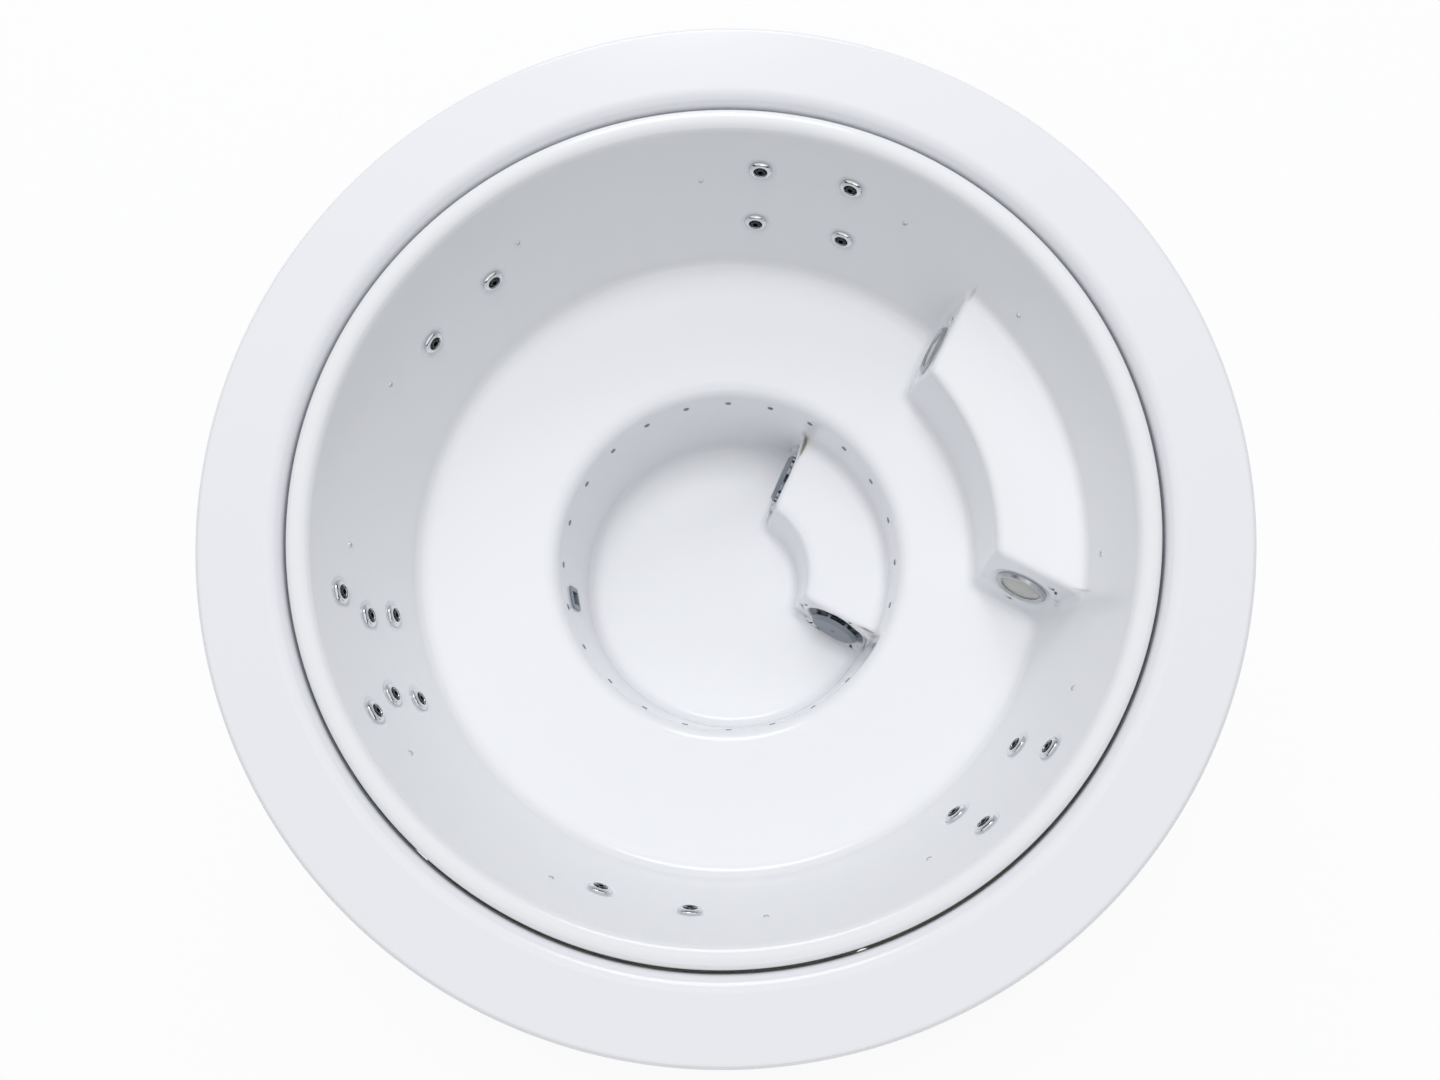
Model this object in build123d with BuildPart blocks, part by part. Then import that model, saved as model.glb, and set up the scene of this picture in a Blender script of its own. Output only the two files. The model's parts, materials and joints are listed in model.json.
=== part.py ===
from build123d import *

import os
from math import atan, cos, degrees, pi, radians, sin, sqrt, tan

# Round built-in overflow hot tub: an acrylic basin whose water spills over a level rim into a
# narrow ring slot, a deck collar outside the slot, a gutter below it, the wall fittings with
# their pipework, and the steel stand. Millimetres. +Z is up, the origin is on the ground under
# the centre, +X points at the middle of the entry steps' side, and depths are measured down
# from the rim.

os.makedirs("parts", exist_ok=True)

# Basin
RIM_HEIGHT = 1010.0          # rim above the ground
SHELL = 8.0                  # acrylic with its backing
RIM_CORNER_R = 927.0         # where the wall would meet the rim
SEAT_BACK_R = 787.0          # where the wall would meet the seat
SEAT_DEPTH = 523.0
WELL_TOP_R = 435.0           # where the footwell wall would meet the seat
WELL_DRAFT = 5.6             # degrees
FLOOR_DEPTH = 920.0
RIM_FILLET = 30.0
SEAT_FILLET = 40.0
WELL_FILLET = 40.0
FLOOR_FILLET = 40.0

# Overflow slot, rim lip and collar
SLOT_R = 980.0               # middle of the slot
SLOT_GAP = 8.0
LIP_ROLL = 20.0
LIP_DROP = 62.0
COLLAR_RISE = 11.0           # collar's flat above the rim
COLLAR_ROLL = 38.0
COLLAR_OUTER_R = 1175.0
COLLAR_EDGE_ROLL = 14.0
COLLAR_SKIRT = 40.0

# Gutter
GUTTER_WALL = 6.0
GUTTER_WIDTH = 88.0          # clear width
GUTTER_DEPTH = 112.0         # gutter floor below the rim
GUTTER_OVERLAP = 22.0        # inner wall bonded behind the rim lip
GUTTER_FLANGE = 16.0
SEAL_THICK = 3.0
OUTLET_ANGLES = (0.0, 107.0, 228.0, 288.0)
OUTLET_R = 31.5              # outside of the drain spigots
OUTLET_BORE = 27.5
OUTLET_FLANGE_R = 41.0
OUTLET_LENGTH = 70.0

# Entry step on the seat, and the step in the footwell
STEP_AXIS = 18.0             # degrees, middle of both steps
UPPER_TOP_DEPTH = 265.0
UPPER_TOP_R = 648.0          # inner edge of the tread
UPPER_FACE_DRAFT = 6.0
UPPER_CORNER = 21.3          # half angle between the tread's inner corners
UPPER_END_TURN = 45.8        # half angle between the directions of the two ends
UPPER_END_DRAFT = 10.0
LOWER_TOP_DEPTH = 720.0
LOWER_TOP_R = 209.0
LOWER_FACE_DRAFT = 9.0
LOWER_CORNER = 37.5
LOWER_END_TURN = 48.1
LOWER_END_DRAFT = 7.0
STEP_EDGE_FILLET = 18.0
STEP_CORNER_FILLET = 26.0

# Massage jets
JET_ROWS = (                 # angle in degrees and depth below the rim
    ((69.5, 146.0), (83.9, 148.0), (69.3, 344.0), (84.6, 346.0)),
    ((131.2, 247.0), (145.3, 243.0)),
    ((189.2, 139.0), (192.2, 251.0), (191.4, 372.0),
     (208.0, 135.0), (205.4, 253.0), (206.5, 370.0)),
    ((250.9, 247.0), (265.0, 236.0)),
    ((309.9, 328.0), (311.1, 143.0), (324.6, 325.0), (325.5, 146.0)),
)
JET_FACE_R = 29.0
JET_SPOT_R = 42.0            # flat moulded round each jet
JET_SPOT_DEPTH = 2.5
JET_HOLE_R = 24.6
JET_EDGE = 3.0               # height of the ring's outer edge on its flat
JET_SHOULDER_R = 24.0
JET_CROWN_R = 18.0
JET_CROWN = 6.6              # in front of the wall's face
JET_LIP = 2.4
THREAD_R = 23.7
THREAD_PLAY = 0.3
JET_TAIL = 30.0              # ring's threaded tail behind the wall's face
BALL_R = 16.0
BALL_PLAY = 0.4
BALL_BORE = 6.5
BALL_TIP = 13.0              # both ends of the ball are cut flat, measured from its centre
BALL_TAIL = 12.0
BALL_CENTRE = 4.0            # behind the wall's face
BALL_LIP = 7.2               # from the ball's centre to the ring's lip
BALL_SEAT = 10.2             # from the ball's centre to the seat behind it
GASKET = 3.0
BACK_PLAY = 0.05             # between the sheet's curved back and what is screwed up to it
JET_FLANGE_R = 32.0
JET_FLANGE = 6.0
JET_BODY_R = 27.5
JET_BODY_WALL = 5.0
JET_BODY_DEPTH = 72.0

# Pipework behind the wall
WATER_PORT_BACK = 50.0       # behind the wall's face, along the jet
WATER_PORT_REACH = 44.0      # from the jet's axis
WATER_PIPE_R = 16.0
WATER_BOSS_R = 19.0
WATER_RISER_R = 25.0
WATER_RISER_BACK = 112.0
WATER_MAIN_R = 31.5
AIR_PORT_BACK = 26.0
AIR_PORT_REACH = 36.0
AIR_PIPE_R = 8.0
AIR_BOSS_R = 10.5
AIR_RISER_R = 10.0
AIR_RISER_BACK = 60.0
AIR_MAIN_R = 13.0
AIR_MAIN_DEPTH = 430.0
RISER_OVER = 4.0             # riser above its top branch
FITTING_WALL = 5.5
FITTING_REACH = 45.0
PIPE_PLAY = 0.1              # between a main's pipe and its fittings
TEE_REACH = 10.0             # beyond the main's fitting
SOCKET_PLAY = 0.2
PORT_LENGTH = 70.0
WATER_SOCKET = 45.0
AIR_SOCKET = 25.0
PLAIN_JOINTS = 3             # couplings on the side without jets, the middle one with the supply

# Wall lights
WALL_LIGHTS = (36.5, 59.8, 93.4, 124.5, 155.1, 181.4, 215.4, 243.9, 276.4, 301.8, 335.4, 356.4)
WALL_LIGHT_DEPTH = 190.0
BEZEL_R = 7.5
BEZEL_THICK = 2.0
BEZEL_STEM_R = 5.0
LENS_R = 4.6
STEM_PLAY = 0.3
STEM_LENGTH = 24.0
FLANGE_LIFT = 0.1            # small flanges off the curved wall
LIGHT_NUT_R = 9.0
LIGHT_NUT = 5.0

# Step lights
STEP_LIGHT_R = 65.0
STEP_LIGHT_DEPTH = 395.0
STEP_LIGHT_ALONG = 92.0      # from the tread's inner corner
STEP_LIGHT_DISH_R = 76.0
STEP_LIGHT_DISH = 5.0
STEP_RING = 12.0
STEP_LENS_R = 49.0
LIGHT_CAN_R = 46.0
LIGHT_CAN_DEPTH = 75.0
CAN_WALL = 3.0
CAN_FLANGE_R = 59.0
CAN_NUT = 8.0
GLAND_R = 9.0
GLAND_LENGTH = 18.0

# Suctions
SUCTION_DEPTH = 822.0
SUCTION_ALONG = 105.0
SUCTION_RECESS = 22.0
RECESS_R = 84.0
NECK_R = 48.0
NECK_BORE = 42.0
NECK_DEPTH = 105.0           # back of the body behind the step's face
SUCTION_FLANGE_R = 72.0
SUCTION_FLANGE = 4.0
SUCTION_NUT_R = 66.0
SUCTION_NUT = 14.0
COVER_BASE_R = 77.0
COVER_BASE = 6.0
COVER_R = 68.0
COVER_HEIGHT = 35.0
COVER_WALL = 3.5
COVER_CHAMFER = 8.0
WINDOW_COUNT = 8
WINDOW_HEIGHT = 15.0
WINDOW_RIB = 9.0
SPIDER_WIDTH = 12.0
POST_R = 9.0
SCREW_R = 2.5
SCREW_HEAD_R = 5.0
SCREW_HEAD = 3.0
SUCTION_PORT_R = 640.0       # mouth of the suction line from the tub's centre

# Footwell air nozzles and their channel
AIR_NOZZLES = 24
AIR_NOZZLE_DEPTH = 595.0
NOZZLE_FLANGE_R = 7.5
NOZZLE_FLANGE = 1.5
NOZZLE_STEM_R = 4.0
NOZZLE_STEM = 16.0
NOZZLE_SLOT = (9.5, 2.6, 4.0)
CHANNEL_HEIGHT = 50.0
CHANNEL_DEPTH = 28.0
CHANNEL_WALL = 4.0
BLOWER_ANGLE = 120.0
BLOWER_R = 16.0
BLOWER_LENGTH = 90.0
BLOWER_BOSS = 8.0            # length of the shoulder at the spigot's root

# Return inlet in the footwell
INLET_ANGLE = 190.3
INLET_DEPTH = 690.0
INLET_WIDTH = 60.0
INLET_HEIGHT = 78.0
INLET_FRAME = 8.0
INLET_PROUD = 5.0
INLET_WALL = 4.0
INLET_CHAMBER = 44.0
INLET_PIPE_R = 22.0
INLET_PIPE = 60.0

# Drain valve on the suction line
DRAIN_AT = 575.0             # from the tub's centre along the line
DRAIN_PIPE_R = 16.0
DRAIN_PIPE = 30.0
VALVE_R = 24.0
VALVE_LENGTH = 60.0
VALVE_UNION_R = 28.0
VALVE_UNION = 14.0
VALVE_HUB_R = 11.0
VALVE_HUB = 8.0
VALVE_STEM_R = 6.0
VALVE_STEM = 12.0
DRAIN_SPIGOT = 50.0
LEVER_PLAY = 0.5
LEVER_LENGTH = 110.0
LEVER_WIDTH = 16.0
LEVER_THICK = 5.0

# Stand
TUBE = 40.0
TUBE_WALL = 3.0
LEGS = 6
FIRST_LEG = 30.0             # degrees
LEG_R = 1100.0
LEG_PLUG = 10.0              # threaded plug in the leg's lower end
BEAM_CLEAR = 26.0            # floor beams above the ground
BEAM_INNER_R = 40.0
HUB_R = 60.0
BOARD = 16.0
BOARD_R = 430.0
SEAT_PAD = 6.0
SEAT_PAD_LENGTH = 180.0
ARM_INNER_R = 560.0
SEAT_FRAME_R = 640.0         # middle of the seat frame's sides
BRACKET = 8.0
BRACKET_WEB = 6.0
BRACKET_WIDTH = 30.0
BRACKET_DROP = 80.0
BRACKET_REACH = 88.0

# Levelling feet
FOOT_PAD_R = 45.0
FOOT_PAD = 12.0
FOOT_NUT_R = 15.0
FOOT_NUT = 10.0
FOOT_STEM_R = 10.0
FOOT_STEM = 110.0
FOOT_PLAY = 0.3

# Worked out from the sizes above
WALL_SLOPE = (RIM_CORNER_R - SEAT_BACK_R) / SEAT_DEPTH
WALL_TILT = degrees(atan(WALL_SLOPE))
SHELL_ACROSS = SHELL / cos(radians(WALL_TILT))
WELL_ACROSS = SHELL / cos(radians(WELL_DRAFT))
LIP_R = SLOT_R - SLOT_GAP / 2
COLLAR_LIP_R = SLOT_R + SLOT_GAP / 2
DECK_Z = RIM_HEIGHT + COLLAR_RISE
DECK_UNDER = DECK_Z - SHELL
GUTTER_IN_R = LIP_R - SHELL - GUTTER_WALL
GUTTER_OUT_R = LIP_R - SHELL + GUTTER_WIDTH + GUTTER_WALL
GUTTER_FLOOR = RIM_HEIGHT - GUTTER_DEPTH
GUTTER_UNDER = GUTTER_FLOOR - GUTTER_WALL
GUTTER_MIDDLE_R = (GUTTER_IN_R + GUTTER_OUT_R) / 2
FLANGE_TOP = DECK_UNDER - SEAL_THICK
RING_BOTTOM = DECK_UNDER - TUBE
BEAM_TOP = BEAM_CLEAR + TUBE
ARM_TOP = RIM_HEIGHT - SEAT_DEPTH - SHELL - SEAT_PAD
ARM_MIDDLE = ARM_TOP - TUBE / 2
LEG_INNER_R = LEG_R - TUBE / 2
LEG_ANGLES = [FIRST_LEG + 360.0 * k / LEGS for k in range(LEGS)]
WATER_MAIN_DEPTH = RIM_HEIGHT - ARM_TOP - WATER_MAIN_R - WATER_RISER_BACK * sin(radians(WALL_TILT))


def level(depth):
    """Height above the ground of a depth below the rim."""
    return RIM_HEIGHT - depth


def wall_r(depth):
    """Radius of the basin wall's wet face."""
    return RIM_CORNER_R - WALL_SLOPE * depth


def well_r(depth):
    """Radius of the footwell wall's wet face."""
    return WELL_TOP_R - (depth - SEAT_DEPTH) * tan(radians(WELL_DRAFT))


def polar(radius, angle, z=0.0):
    """Point at a radius and an angle in degrees."""
    return Vector(radius * cos(radians(angle)), radius * sin(radians(angle)), z)


def behind_wall(angle, depth, back):
    """Point outside the basin wall, back from its wet face at a depth."""
    tilt = radians(WALL_TILT)
    return polar(wall_r(depth) + back * cos(tilt), angle, level(depth) - back * sin(tilt))


def behind_well(depth, back):
    """Radius and height of a point outside the footwell wall."""
    lean = radians(WELL_DRAFT)
    return well_r(depth) + back * cos(lean), level(depth) - back * sin(lean)


def facing_in(radius, angle, z, tilt):
    """Plane on a wall that leans out by tilt: x runs round the tub, z points into it."""
    normal = polar(-cos(radians(tilt)), angle, sin(radians(tilt)))
    return Plane(origin=polar(radius, angle, z), x_dir=polar(1, angle + 90, 0), z_dir=normal)


def wall_plane(angle, depth):
    return facing_in(wall_r(depth), angle, level(depth), WALL_TILT)


def well_plane(angle, depth):
    return facing_in(well_r(depth), angle, level(depth), WELL_DRAFT)


def radial_plane(angle):
    """Upright plane through the tub's axis: x runs out, y runs up."""
    return Plane(origin=(0, 0, 0), x_dir=polar(1, angle, 0), z_dir=polar(1, angle - 90, 0))


def rod(start, end, radius):
    """Round bar between two points."""
    run = end - start
    return Plane(origin=start, z_dir=run.normalized()) * Cylinder(
        radius, run.length, align=(Align.CENTER, Align.CENTER, Align.MIN), mode=Mode.PRIVATE
    )


def ring_form(*outline):
    """Solid of revolution about Z from its outline in radius and height."""
    with BuildPart() as form:
        with BuildSketch(Plane.XZ):
            with BuildLine():
                Polyline(*outline, close=True)
            make_face()
        revolve(axis=Axis.Z)
    return form.part


def ball_zone(height):
    """Radius of the jet's ball at a height from its centre."""
    return sqrt(BALL_R ** 2 - height ** 2)


def save(piece, name):
    piece.label = name
    export_step(piece, f"parts/{name}.step")


# The steps are hollow under their treads, as a formed sheet is. Each block is cut from a ring
# by two leaning end planes.
def end_plane(side, tread_r, corner, turn, draft, z, inset=0.0):
    """Plane of a step's end: x runs from the inner corner to the wall, z points out of the step."""
    along = STEP_AXIS + side * turn
    out = along + side * 90
    normal = polar(cos(radians(draft)), out, sin(radians(draft)))
    origin = polar(tread_r, STEP_AXIS + side * corner, z) - normal * inset
    return Plane(origin=origin, x_dir=polar(1, along, 0), z_dir=normal)


def upper_end(side, inset=0.0):
    return end_plane(
        side, UPPER_TOP_R, UPPER_CORNER, UPPER_END_TURN, UPPER_END_DRAFT, level(UPPER_TOP_DEPTH), inset
    )


def lower_end(side, inset=0.0):
    return end_plane(
        side, LOWER_TOP_R, LOWER_CORNER, LOWER_END_TURN, LOWER_END_DRAFT, level(LOWER_TOP_DEPTH), inset
    )


def on_end(plane, along, drop):
    """The end's plane moved to a fitting: along the tread's edge, then straight down by drop."""
    lean = plane.z_dir.Z
    down = (plane.z_dir * lean - Vector(0, 0, 1)) * (drop / (1 - lean * lean))
    return Plane(origin=plane.origin + plane.x_dir * along + down, x_dir=plane.x_dir, z_dir=plane.z_dir)


def from_axis(edge):
    """Distance of an edge's middle from the tub's axis."""
    middle = edge @ 0.5
    return Vector(middle.X, middle.Y, 0).length


def sector_block(outline, ends):
    """Ring sector with the outline in radius and height, cut off by the end planes."""
    with BuildPart() as block:
        with BuildSketch(radial_plane(STEP_AXIS - 90)):
            with BuildLine():
                Polyline(*outline, close=True)
            make_face()
        revolve(axis=Axis.Z, revolution_arc=180)
        for plane in ends:
            split(bisect_by=plane, keep=Keep.BOTTOM)
    return block.part


def rounded_block(outline, ends):
    """Sector block with round upright corners and a round tread edge."""
    with BuildPart() as block:
        add(sector_block(outline, ends))
        uprights = [e for e in block.edges() if abs((e @ 0).Z - (e @ 1).Z) > STEP_EDGE_FILLET]
        fillet(sorted(uprights, key=from_axis)[:2], radius=STEP_CORNER_FILLET)
        tread = block.faces().sort_by(Axis.Z)[-1]
        fillet(sorted(tread.edges(), key=from_axis)[:-1], radius=STEP_EDGE_FILLET)
    return block.part


def step_outline(top_depth, tread_r, draft, base_depth, inset, outer_top, outer_base):
    """Outline of a step's block: the face leans by draft, inset shrinks it to the hollow."""
    base_r = tread_r - (base_depth - top_depth) * tan(radians(draft))
    across = inset / cos(radians(draft))
    return (
        (base_r + across, level(base_depth)),
        (tread_r + across - inset * tan(radians(draft)), level(top_depth + inset)),
        (outer_top, level(top_depth + inset)),
        (outer_base, level(base_depth)),
    )


# Places of the fittings
JETS = [place for row in JET_ROWS for place in row]
jet_planes = [wall_plane(*place) for place in JETS]
wall_light_planes = [wall_plane(angle, WALL_LIGHT_DEPTH) for angle in WALL_LIGHTS]
nozzle_angles = [360.0 * k / AIR_NOZZLES for k in range(AIR_NOZZLES)]
nozzle_planes = [well_plane(angle, AIR_NOZZLE_DEPTH) for angle in nozzle_angles]
inlet_plane = well_plane(INLET_ANGLE, INLET_DEPTH)
light_drop = STEP_LIGHT_DEPTH - UPPER_TOP_DEPTH
suction_drop = SUCTION_DEPTH - LOWER_TOP_DEPTH
step_light_planes = [on_end(upper_end(side), STEP_LIGHT_ALONG, light_drop) for side in (1, -1)]
suction_planes = [on_end(lower_end(side), SUCTION_ALONG, suction_drop) for side in (1, -1)]
recess_floors = [plane.offset(-SUCTION_RECESS) for plane in suction_planes]
light_floors = [plane.offset(-STEP_LIGHT_DISH) for plane in step_light_planes]

# Basin: floor, footwell wall, seat, wall, rim and turned-down lip in one formed sheet
wet_face = (
    (0, level(FLOOR_DEPTH)),
    (well_r(FLOOR_DEPTH), level(FLOOR_DEPTH)),
    (WELL_TOP_R, level(SEAT_DEPTH)),
    (SEAT_BACK_R, level(SEAT_DEPTH)),
    (RIM_CORNER_R, RIM_HEIGHT),
    (LIP_R, RIM_HEIGHT),
    (LIP_R, level(LIP_DROP)),
)
back_face = (
    (LIP_R, level(LIP_DROP)),
    (LIP_R - SHELL, level(LIP_DROP)),
    (LIP_R - SHELL, level(SHELL)),
    (wall_r(SHELL) + SHELL_ACROSS, level(SHELL)),
    (wall_r(SEAT_DEPTH + SHELL) + SHELL_ACROSS, level(SEAT_DEPTH + SHELL)),
    (well_r(SEAT_DEPTH + SHELL) + WELL_ACROSS, level(SEAT_DEPTH + SHELL)),
    (well_r(FLOOR_DEPTH + SHELL) + WELL_ACROSS, level(FLOOR_DEPTH + SHELL)),
    (0, level(FLOOR_DEPTH + SHELL)),
    (0, level(FLOOR_DEPTH)),
)
upper_block = rounded_block(
    step_outline(
        UPPER_TOP_DEPTH, UPPER_TOP_R, UPPER_FACE_DRAFT, SEAT_DEPTH + SHELL / 2, 0,
        wall_r(UPPER_TOP_DEPTH) + SHELL_ACROSS / 2, wall_r(SEAT_DEPTH) + SHELL_ACROSS / 2,
    ),
    [upper_end(1), upper_end(-1)],
)
upper_hollow = sector_block(
    step_outline(
        UPPER_TOP_DEPTH, UPPER_TOP_R, UPPER_FACE_DRAFT, SEAT_DEPTH + 2 * SHELL, SHELL,
        wall_r(UPPER_TOP_DEPTH) + 2 * SHELL_ACROSS, wall_r(SEAT_DEPTH) + 3 * SHELL_ACROSS,
    ),
    [upper_end(1, SHELL), upper_end(-1, SHELL)],
)
lower_block = rounded_block(
    step_outline(
        LOWER_TOP_DEPTH, LOWER_TOP_R, LOWER_FACE_DRAFT, FLOOR_DEPTH + SHELL / 2, 0,
        well_r(LOWER_TOP_DEPTH) + WELL_ACROSS / 2, well_r(FLOOR_DEPTH) + WELL_ACROSS / 2,
    ),
    [lower_end(1), lower_end(-1)],
)
lower_hollow = sector_block(
    step_outline(
        LOWER_TOP_DEPTH, LOWER_TOP_R, LOWER_FACE_DRAFT, FLOOR_DEPTH + 2 * SHELL, SHELL,
        well_r(LOWER_TOP_DEPTH) + 3 * WELL_ACROSS, well_r(FLOOR_DEPTH) + 3 * WELL_ACROSS,
    ),
    [lower_end(1, SHELL), lower_end(-1, SHELL)],
)

with BuildPart() as basin_shell:
    with BuildSketch(Plane.XZ):
        with BuildLine():
            FilletPolyline(*wet_face, radius=[FLOOR_FILLET, WELL_FILLET, SEAT_FILLET, RIM_FILLET, LIP_ROLL])
            FilletPolyline(
                *back_face,
                radius=[0, LIP_ROLL - SHELL, RIM_FILLET - SHELL, 0, WELL_FILLET - SHELL, 0, 0],
            )
        make_face()
    revolve(axis=Axis.Z)
    add(upper_block)
    add(lower_block)
    add(upper_hollow, mode=Mode.SUBTRACT)
    add(lower_hollow, mode=Mode.SUBTRACT)
    with Locations(*suction_planes):
        Cylinder(
            RECESS_R + SHELL, SUCTION_RECESS + SHELL, align=(Align.CENTER, Align.CENTER, Align.MAX)
        )
    with Locations(*recess_floors):
        Cylinder(
            RECESS_R, 3 * SUCTION_RECESS, align=(Align.CENTER, Align.CENTER, Align.MIN), mode=Mode.SUBTRACT
        )
        Cylinder(NECK_R + THREAD_PLAY, 4 * SHELL, mode=Mode.SUBTRACT)
    with Locations(*light_floors):
        Cylinder(
            STEP_LIGHT_DISH_R, 4 * SHELL, align=(Align.CENTER, Align.CENTER, Align.MIN), mode=Mode.SUBTRACT
        )
        Cylinder(LIGHT_CAN_R + THREAD_PLAY, 4 * SHELL, mode=Mode.SUBTRACT)
    with Locations(*jet_planes):
        Cylinder(JET_HOLE_R, 4 * SHELL, mode=Mode.SUBTRACT)
    with Locations(*[plane.offset(-JET_SPOT_DEPTH) for plane in jet_planes]):
        Cylinder(
            JET_SPOT_R, 2 * SHELL, align=(Align.CENTER, Align.CENTER, Align.MIN), mode=Mode.SUBTRACT
        )
    with Locations(*wall_light_planes):
        Cylinder(BEZEL_STEM_R + STEM_PLAY, 4 * SHELL, mode=Mode.SUBTRACT)
    with Locations(*nozzle_planes):
        Cylinder(NOZZLE_STEM_R + STEM_PLAY, 4 * SHELL, mode=Mode.SUBTRACT)
    with Locations(inlet_plane):
        Box(
            INLET_WIDTH - 2 * INLET_FRAME + 2 * THREAD_PLAY, INLET_HEIGHT - 2 * INLET_FRAME + 2 * THREAD_PLAY,
            4 * SHELL, mode=Mode.SUBTRACT,
        )
save(basin_shell.part, "basin_shell")

with BuildPart() as overflow_collar:
    with BuildSketch(Plane.XZ):
        with BuildLine():
            FilletPolyline(
                (COLLAR_LIP_R, level(LIP_DROP)),
                (COLLAR_LIP_R, DECK_Z),
                (COLLAR_OUTER_R, DECK_Z),
                (COLLAR_OUTER_R, DECK_Z - COLLAR_SKIRT),
                radius=[COLLAR_ROLL, COLLAR_EDGE_ROLL],
            )
            FilletPolyline(
                (COLLAR_OUTER_R, DECK_Z - COLLAR_SKIRT),
                (COLLAR_OUTER_R - SHELL, DECK_Z - COLLAR_SKIRT),
                (COLLAR_OUTER_R - SHELL, DECK_UNDER),
                (COLLAR_LIP_R + SHELL, DECK_UNDER),
                (COLLAR_LIP_R + SHELL, level(LIP_DROP)),
                (COLLAR_LIP_R, level(LIP_DROP)),
                radius=[0, COLLAR_EDGE_ROLL - SHELL, COLLAR_ROLL - SHELL, 0],
            )
        make_face()
    revolve(axis=Axis.Z)
save(overflow_collar.part, "overflow_collar")

# Gutter under the slot, bonded behind the rim's lip, with its flange sealed under the collar
outlet_places = [polar(GUTTER_MIDDLE_R, angle) for angle in OUTLET_ANGLES]
with BuildPart() as overflow_gutter:
    add(
        ring_form(
            (GUTTER_IN_R, GUTTER_UNDER),
            (GUTTER_OUT_R, GUTTER_UNDER),
            (GUTTER_OUT_R, FLANGE_TOP - GUTTER_WALL),
            (GUTTER_OUT_R + GUTTER_FLANGE, FLANGE_TOP - GUTTER_WALL),
            (GUTTER_OUT_R + GUTTER_FLANGE, FLANGE_TOP),
            (GUTTER_OUT_R - GUTTER_WALL, FLANGE_TOP),
            (GUTTER_OUT_R - GUTTER_WALL, GUTTER_FLOOR),
            (GUTTER_IN_R + GUTTER_WALL, GUTTER_FLOOR),
            (GUTTER_IN_R + GUTTER_WALL, level(LIP_DROP - GUTTER_OVERLAP)),
            (GUTTER_IN_R, level(LIP_DROP - GUTTER_OVERLAP)),
        )
    )
    with Locations(*outlet_places):
        with Locations((0, 0, GUTTER_FLOOR)):
            Cylinder(OUTLET_BORE, 4 * GUTTER_WALL, mode=Mode.SUBTRACT)
save(overflow_gutter.part, "overflow_gutter")

with BuildPart() as gutter_seal:
    add(
        ring_form(
            (GUTTER_OUT_R - GUTTER_WALL, FLANGE_TOP),
            (GUTTER_OUT_R + GUTTER_FLANGE, FLANGE_TOP),
            (GUTTER_OUT_R + GUTTER_FLANGE, DECK_UNDER),
            (GUTTER_OUT_R - GUTTER_WALL, DECK_UNDER),
        )
    )
save(gutter_seal.part, "gutter_seal")

outlet_form = ring_form(
    (OUTLET_BORE, GUTTER_UNDER),
    (OUTLET_FLANGE_R, GUTTER_UNDER),
    (OUTLET_FLANGE_R, GUTTER_UNDER - GUTTER_WALL),
    (OUTLET_R, GUTTER_UNDER - GUTTER_WALL),
    (OUTLET_R, GUTTER_UNDER - OUTLET_LENGTH),
    (OUTLET_BORE, GUTTER_UNDER - OUTLET_LENGTH),
)
with BuildPart() as gutter_outlets:
    with Locations(*outlet_places):
        add(outlet_form)
save(gutter_outlets.part, "gutter_outlets")

# Jets in each jet's own frame, z into the tub: screwed-in ring, ball nozzle, gasket and body
lip_back = BALL_LIP - BALL_CENTRE
seat_front = -BALL_SEAT - BALL_CENTRE
gasket_front = -SHELL - BACK_PLAY
gasket_back = -SHELL - GASKET
lip_r = ball_zone(BALL_LIP) + BALL_PLAY
seat_r = ball_zone(BALL_SEAT) + BALL_PLAY
jet_ring_form = ring_form(
    (JET_FACE_R, -JET_SPOT_DEPTH),
    (JET_FACE_R, JET_EDGE - JET_SPOT_DEPTH),
    (JET_SHOULDER_R, JET_CROWN - JET_LIP),
    (JET_CROWN_R, JET_CROWN),
    (lip_r, lip_back + JET_LIP),
    (lip_r, lip_back),
    (BALL_R + BALL_PLAY, lip_back),
    (BALL_R + BALL_PLAY, seat_front),
    (seat_r, seat_front),
    (seat_r, -JET_TAIL),
    (THREAD_R, -JET_TAIL),
    (THREAD_R, -JET_SPOT_DEPTH),
)
jet_nozzle_form = ring_form(
    (BALL_BORE, BALL_TIP - BALL_CENTRE),
    (ball_zone(BALL_TIP), BALL_TIP - BALL_CENTRE),
    (ball_zone(BALL_R / 2), BALL_R / 2 - BALL_CENTRE),
    (BALL_R, -BALL_CENTRE),
    (ball_zone(BALL_R / 2), -BALL_R / 2 - BALL_CENTRE),
    (ball_zone(BALL_TAIL), -BALL_TAIL - BALL_CENTRE),
    (BALL_BORE, -BALL_TAIL - BALL_CENTRE),
)
jet_gasket_form = ring_form(
    (JET_HOLE_R, gasket_front),
    (JET_FLANGE_R, gasket_front),
    (JET_FLANGE_R, gasket_back),
    (JET_HOLE_R, gasket_back),
)
jet_body_form = ring_form(
    (0, gasket_back),
    (JET_FLANGE_R, gasket_back),
    (JET_FLANGE_R, gasket_back - JET_FLANGE),
    (JET_BODY_R, gasket_back - JET_FLANGE),
    (JET_BODY_R, -JET_BODY_DEPTH),
    (0, -JET_BODY_DEPTH),
)

with BuildPart() as jet_rings:
    with Locations(*jet_planes):
        add(jet_ring_form)
save(jet_rings.part, "jet_rings")

with BuildPart() as jet_gaskets:
    with Locations(*jet_planes):
        add(jet_gasket_form)
save(jet_gaskets.part, "jet_gaskets")

for number, plane in enumerate(jet_planes, start=1):
    with BuildPart() as jet_nozzle:
        with Locations(plane):
            add(jet_nozzle_form)
    save(jet_nozzle.part, f"jet_nozzle_{number:02d}")


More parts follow.
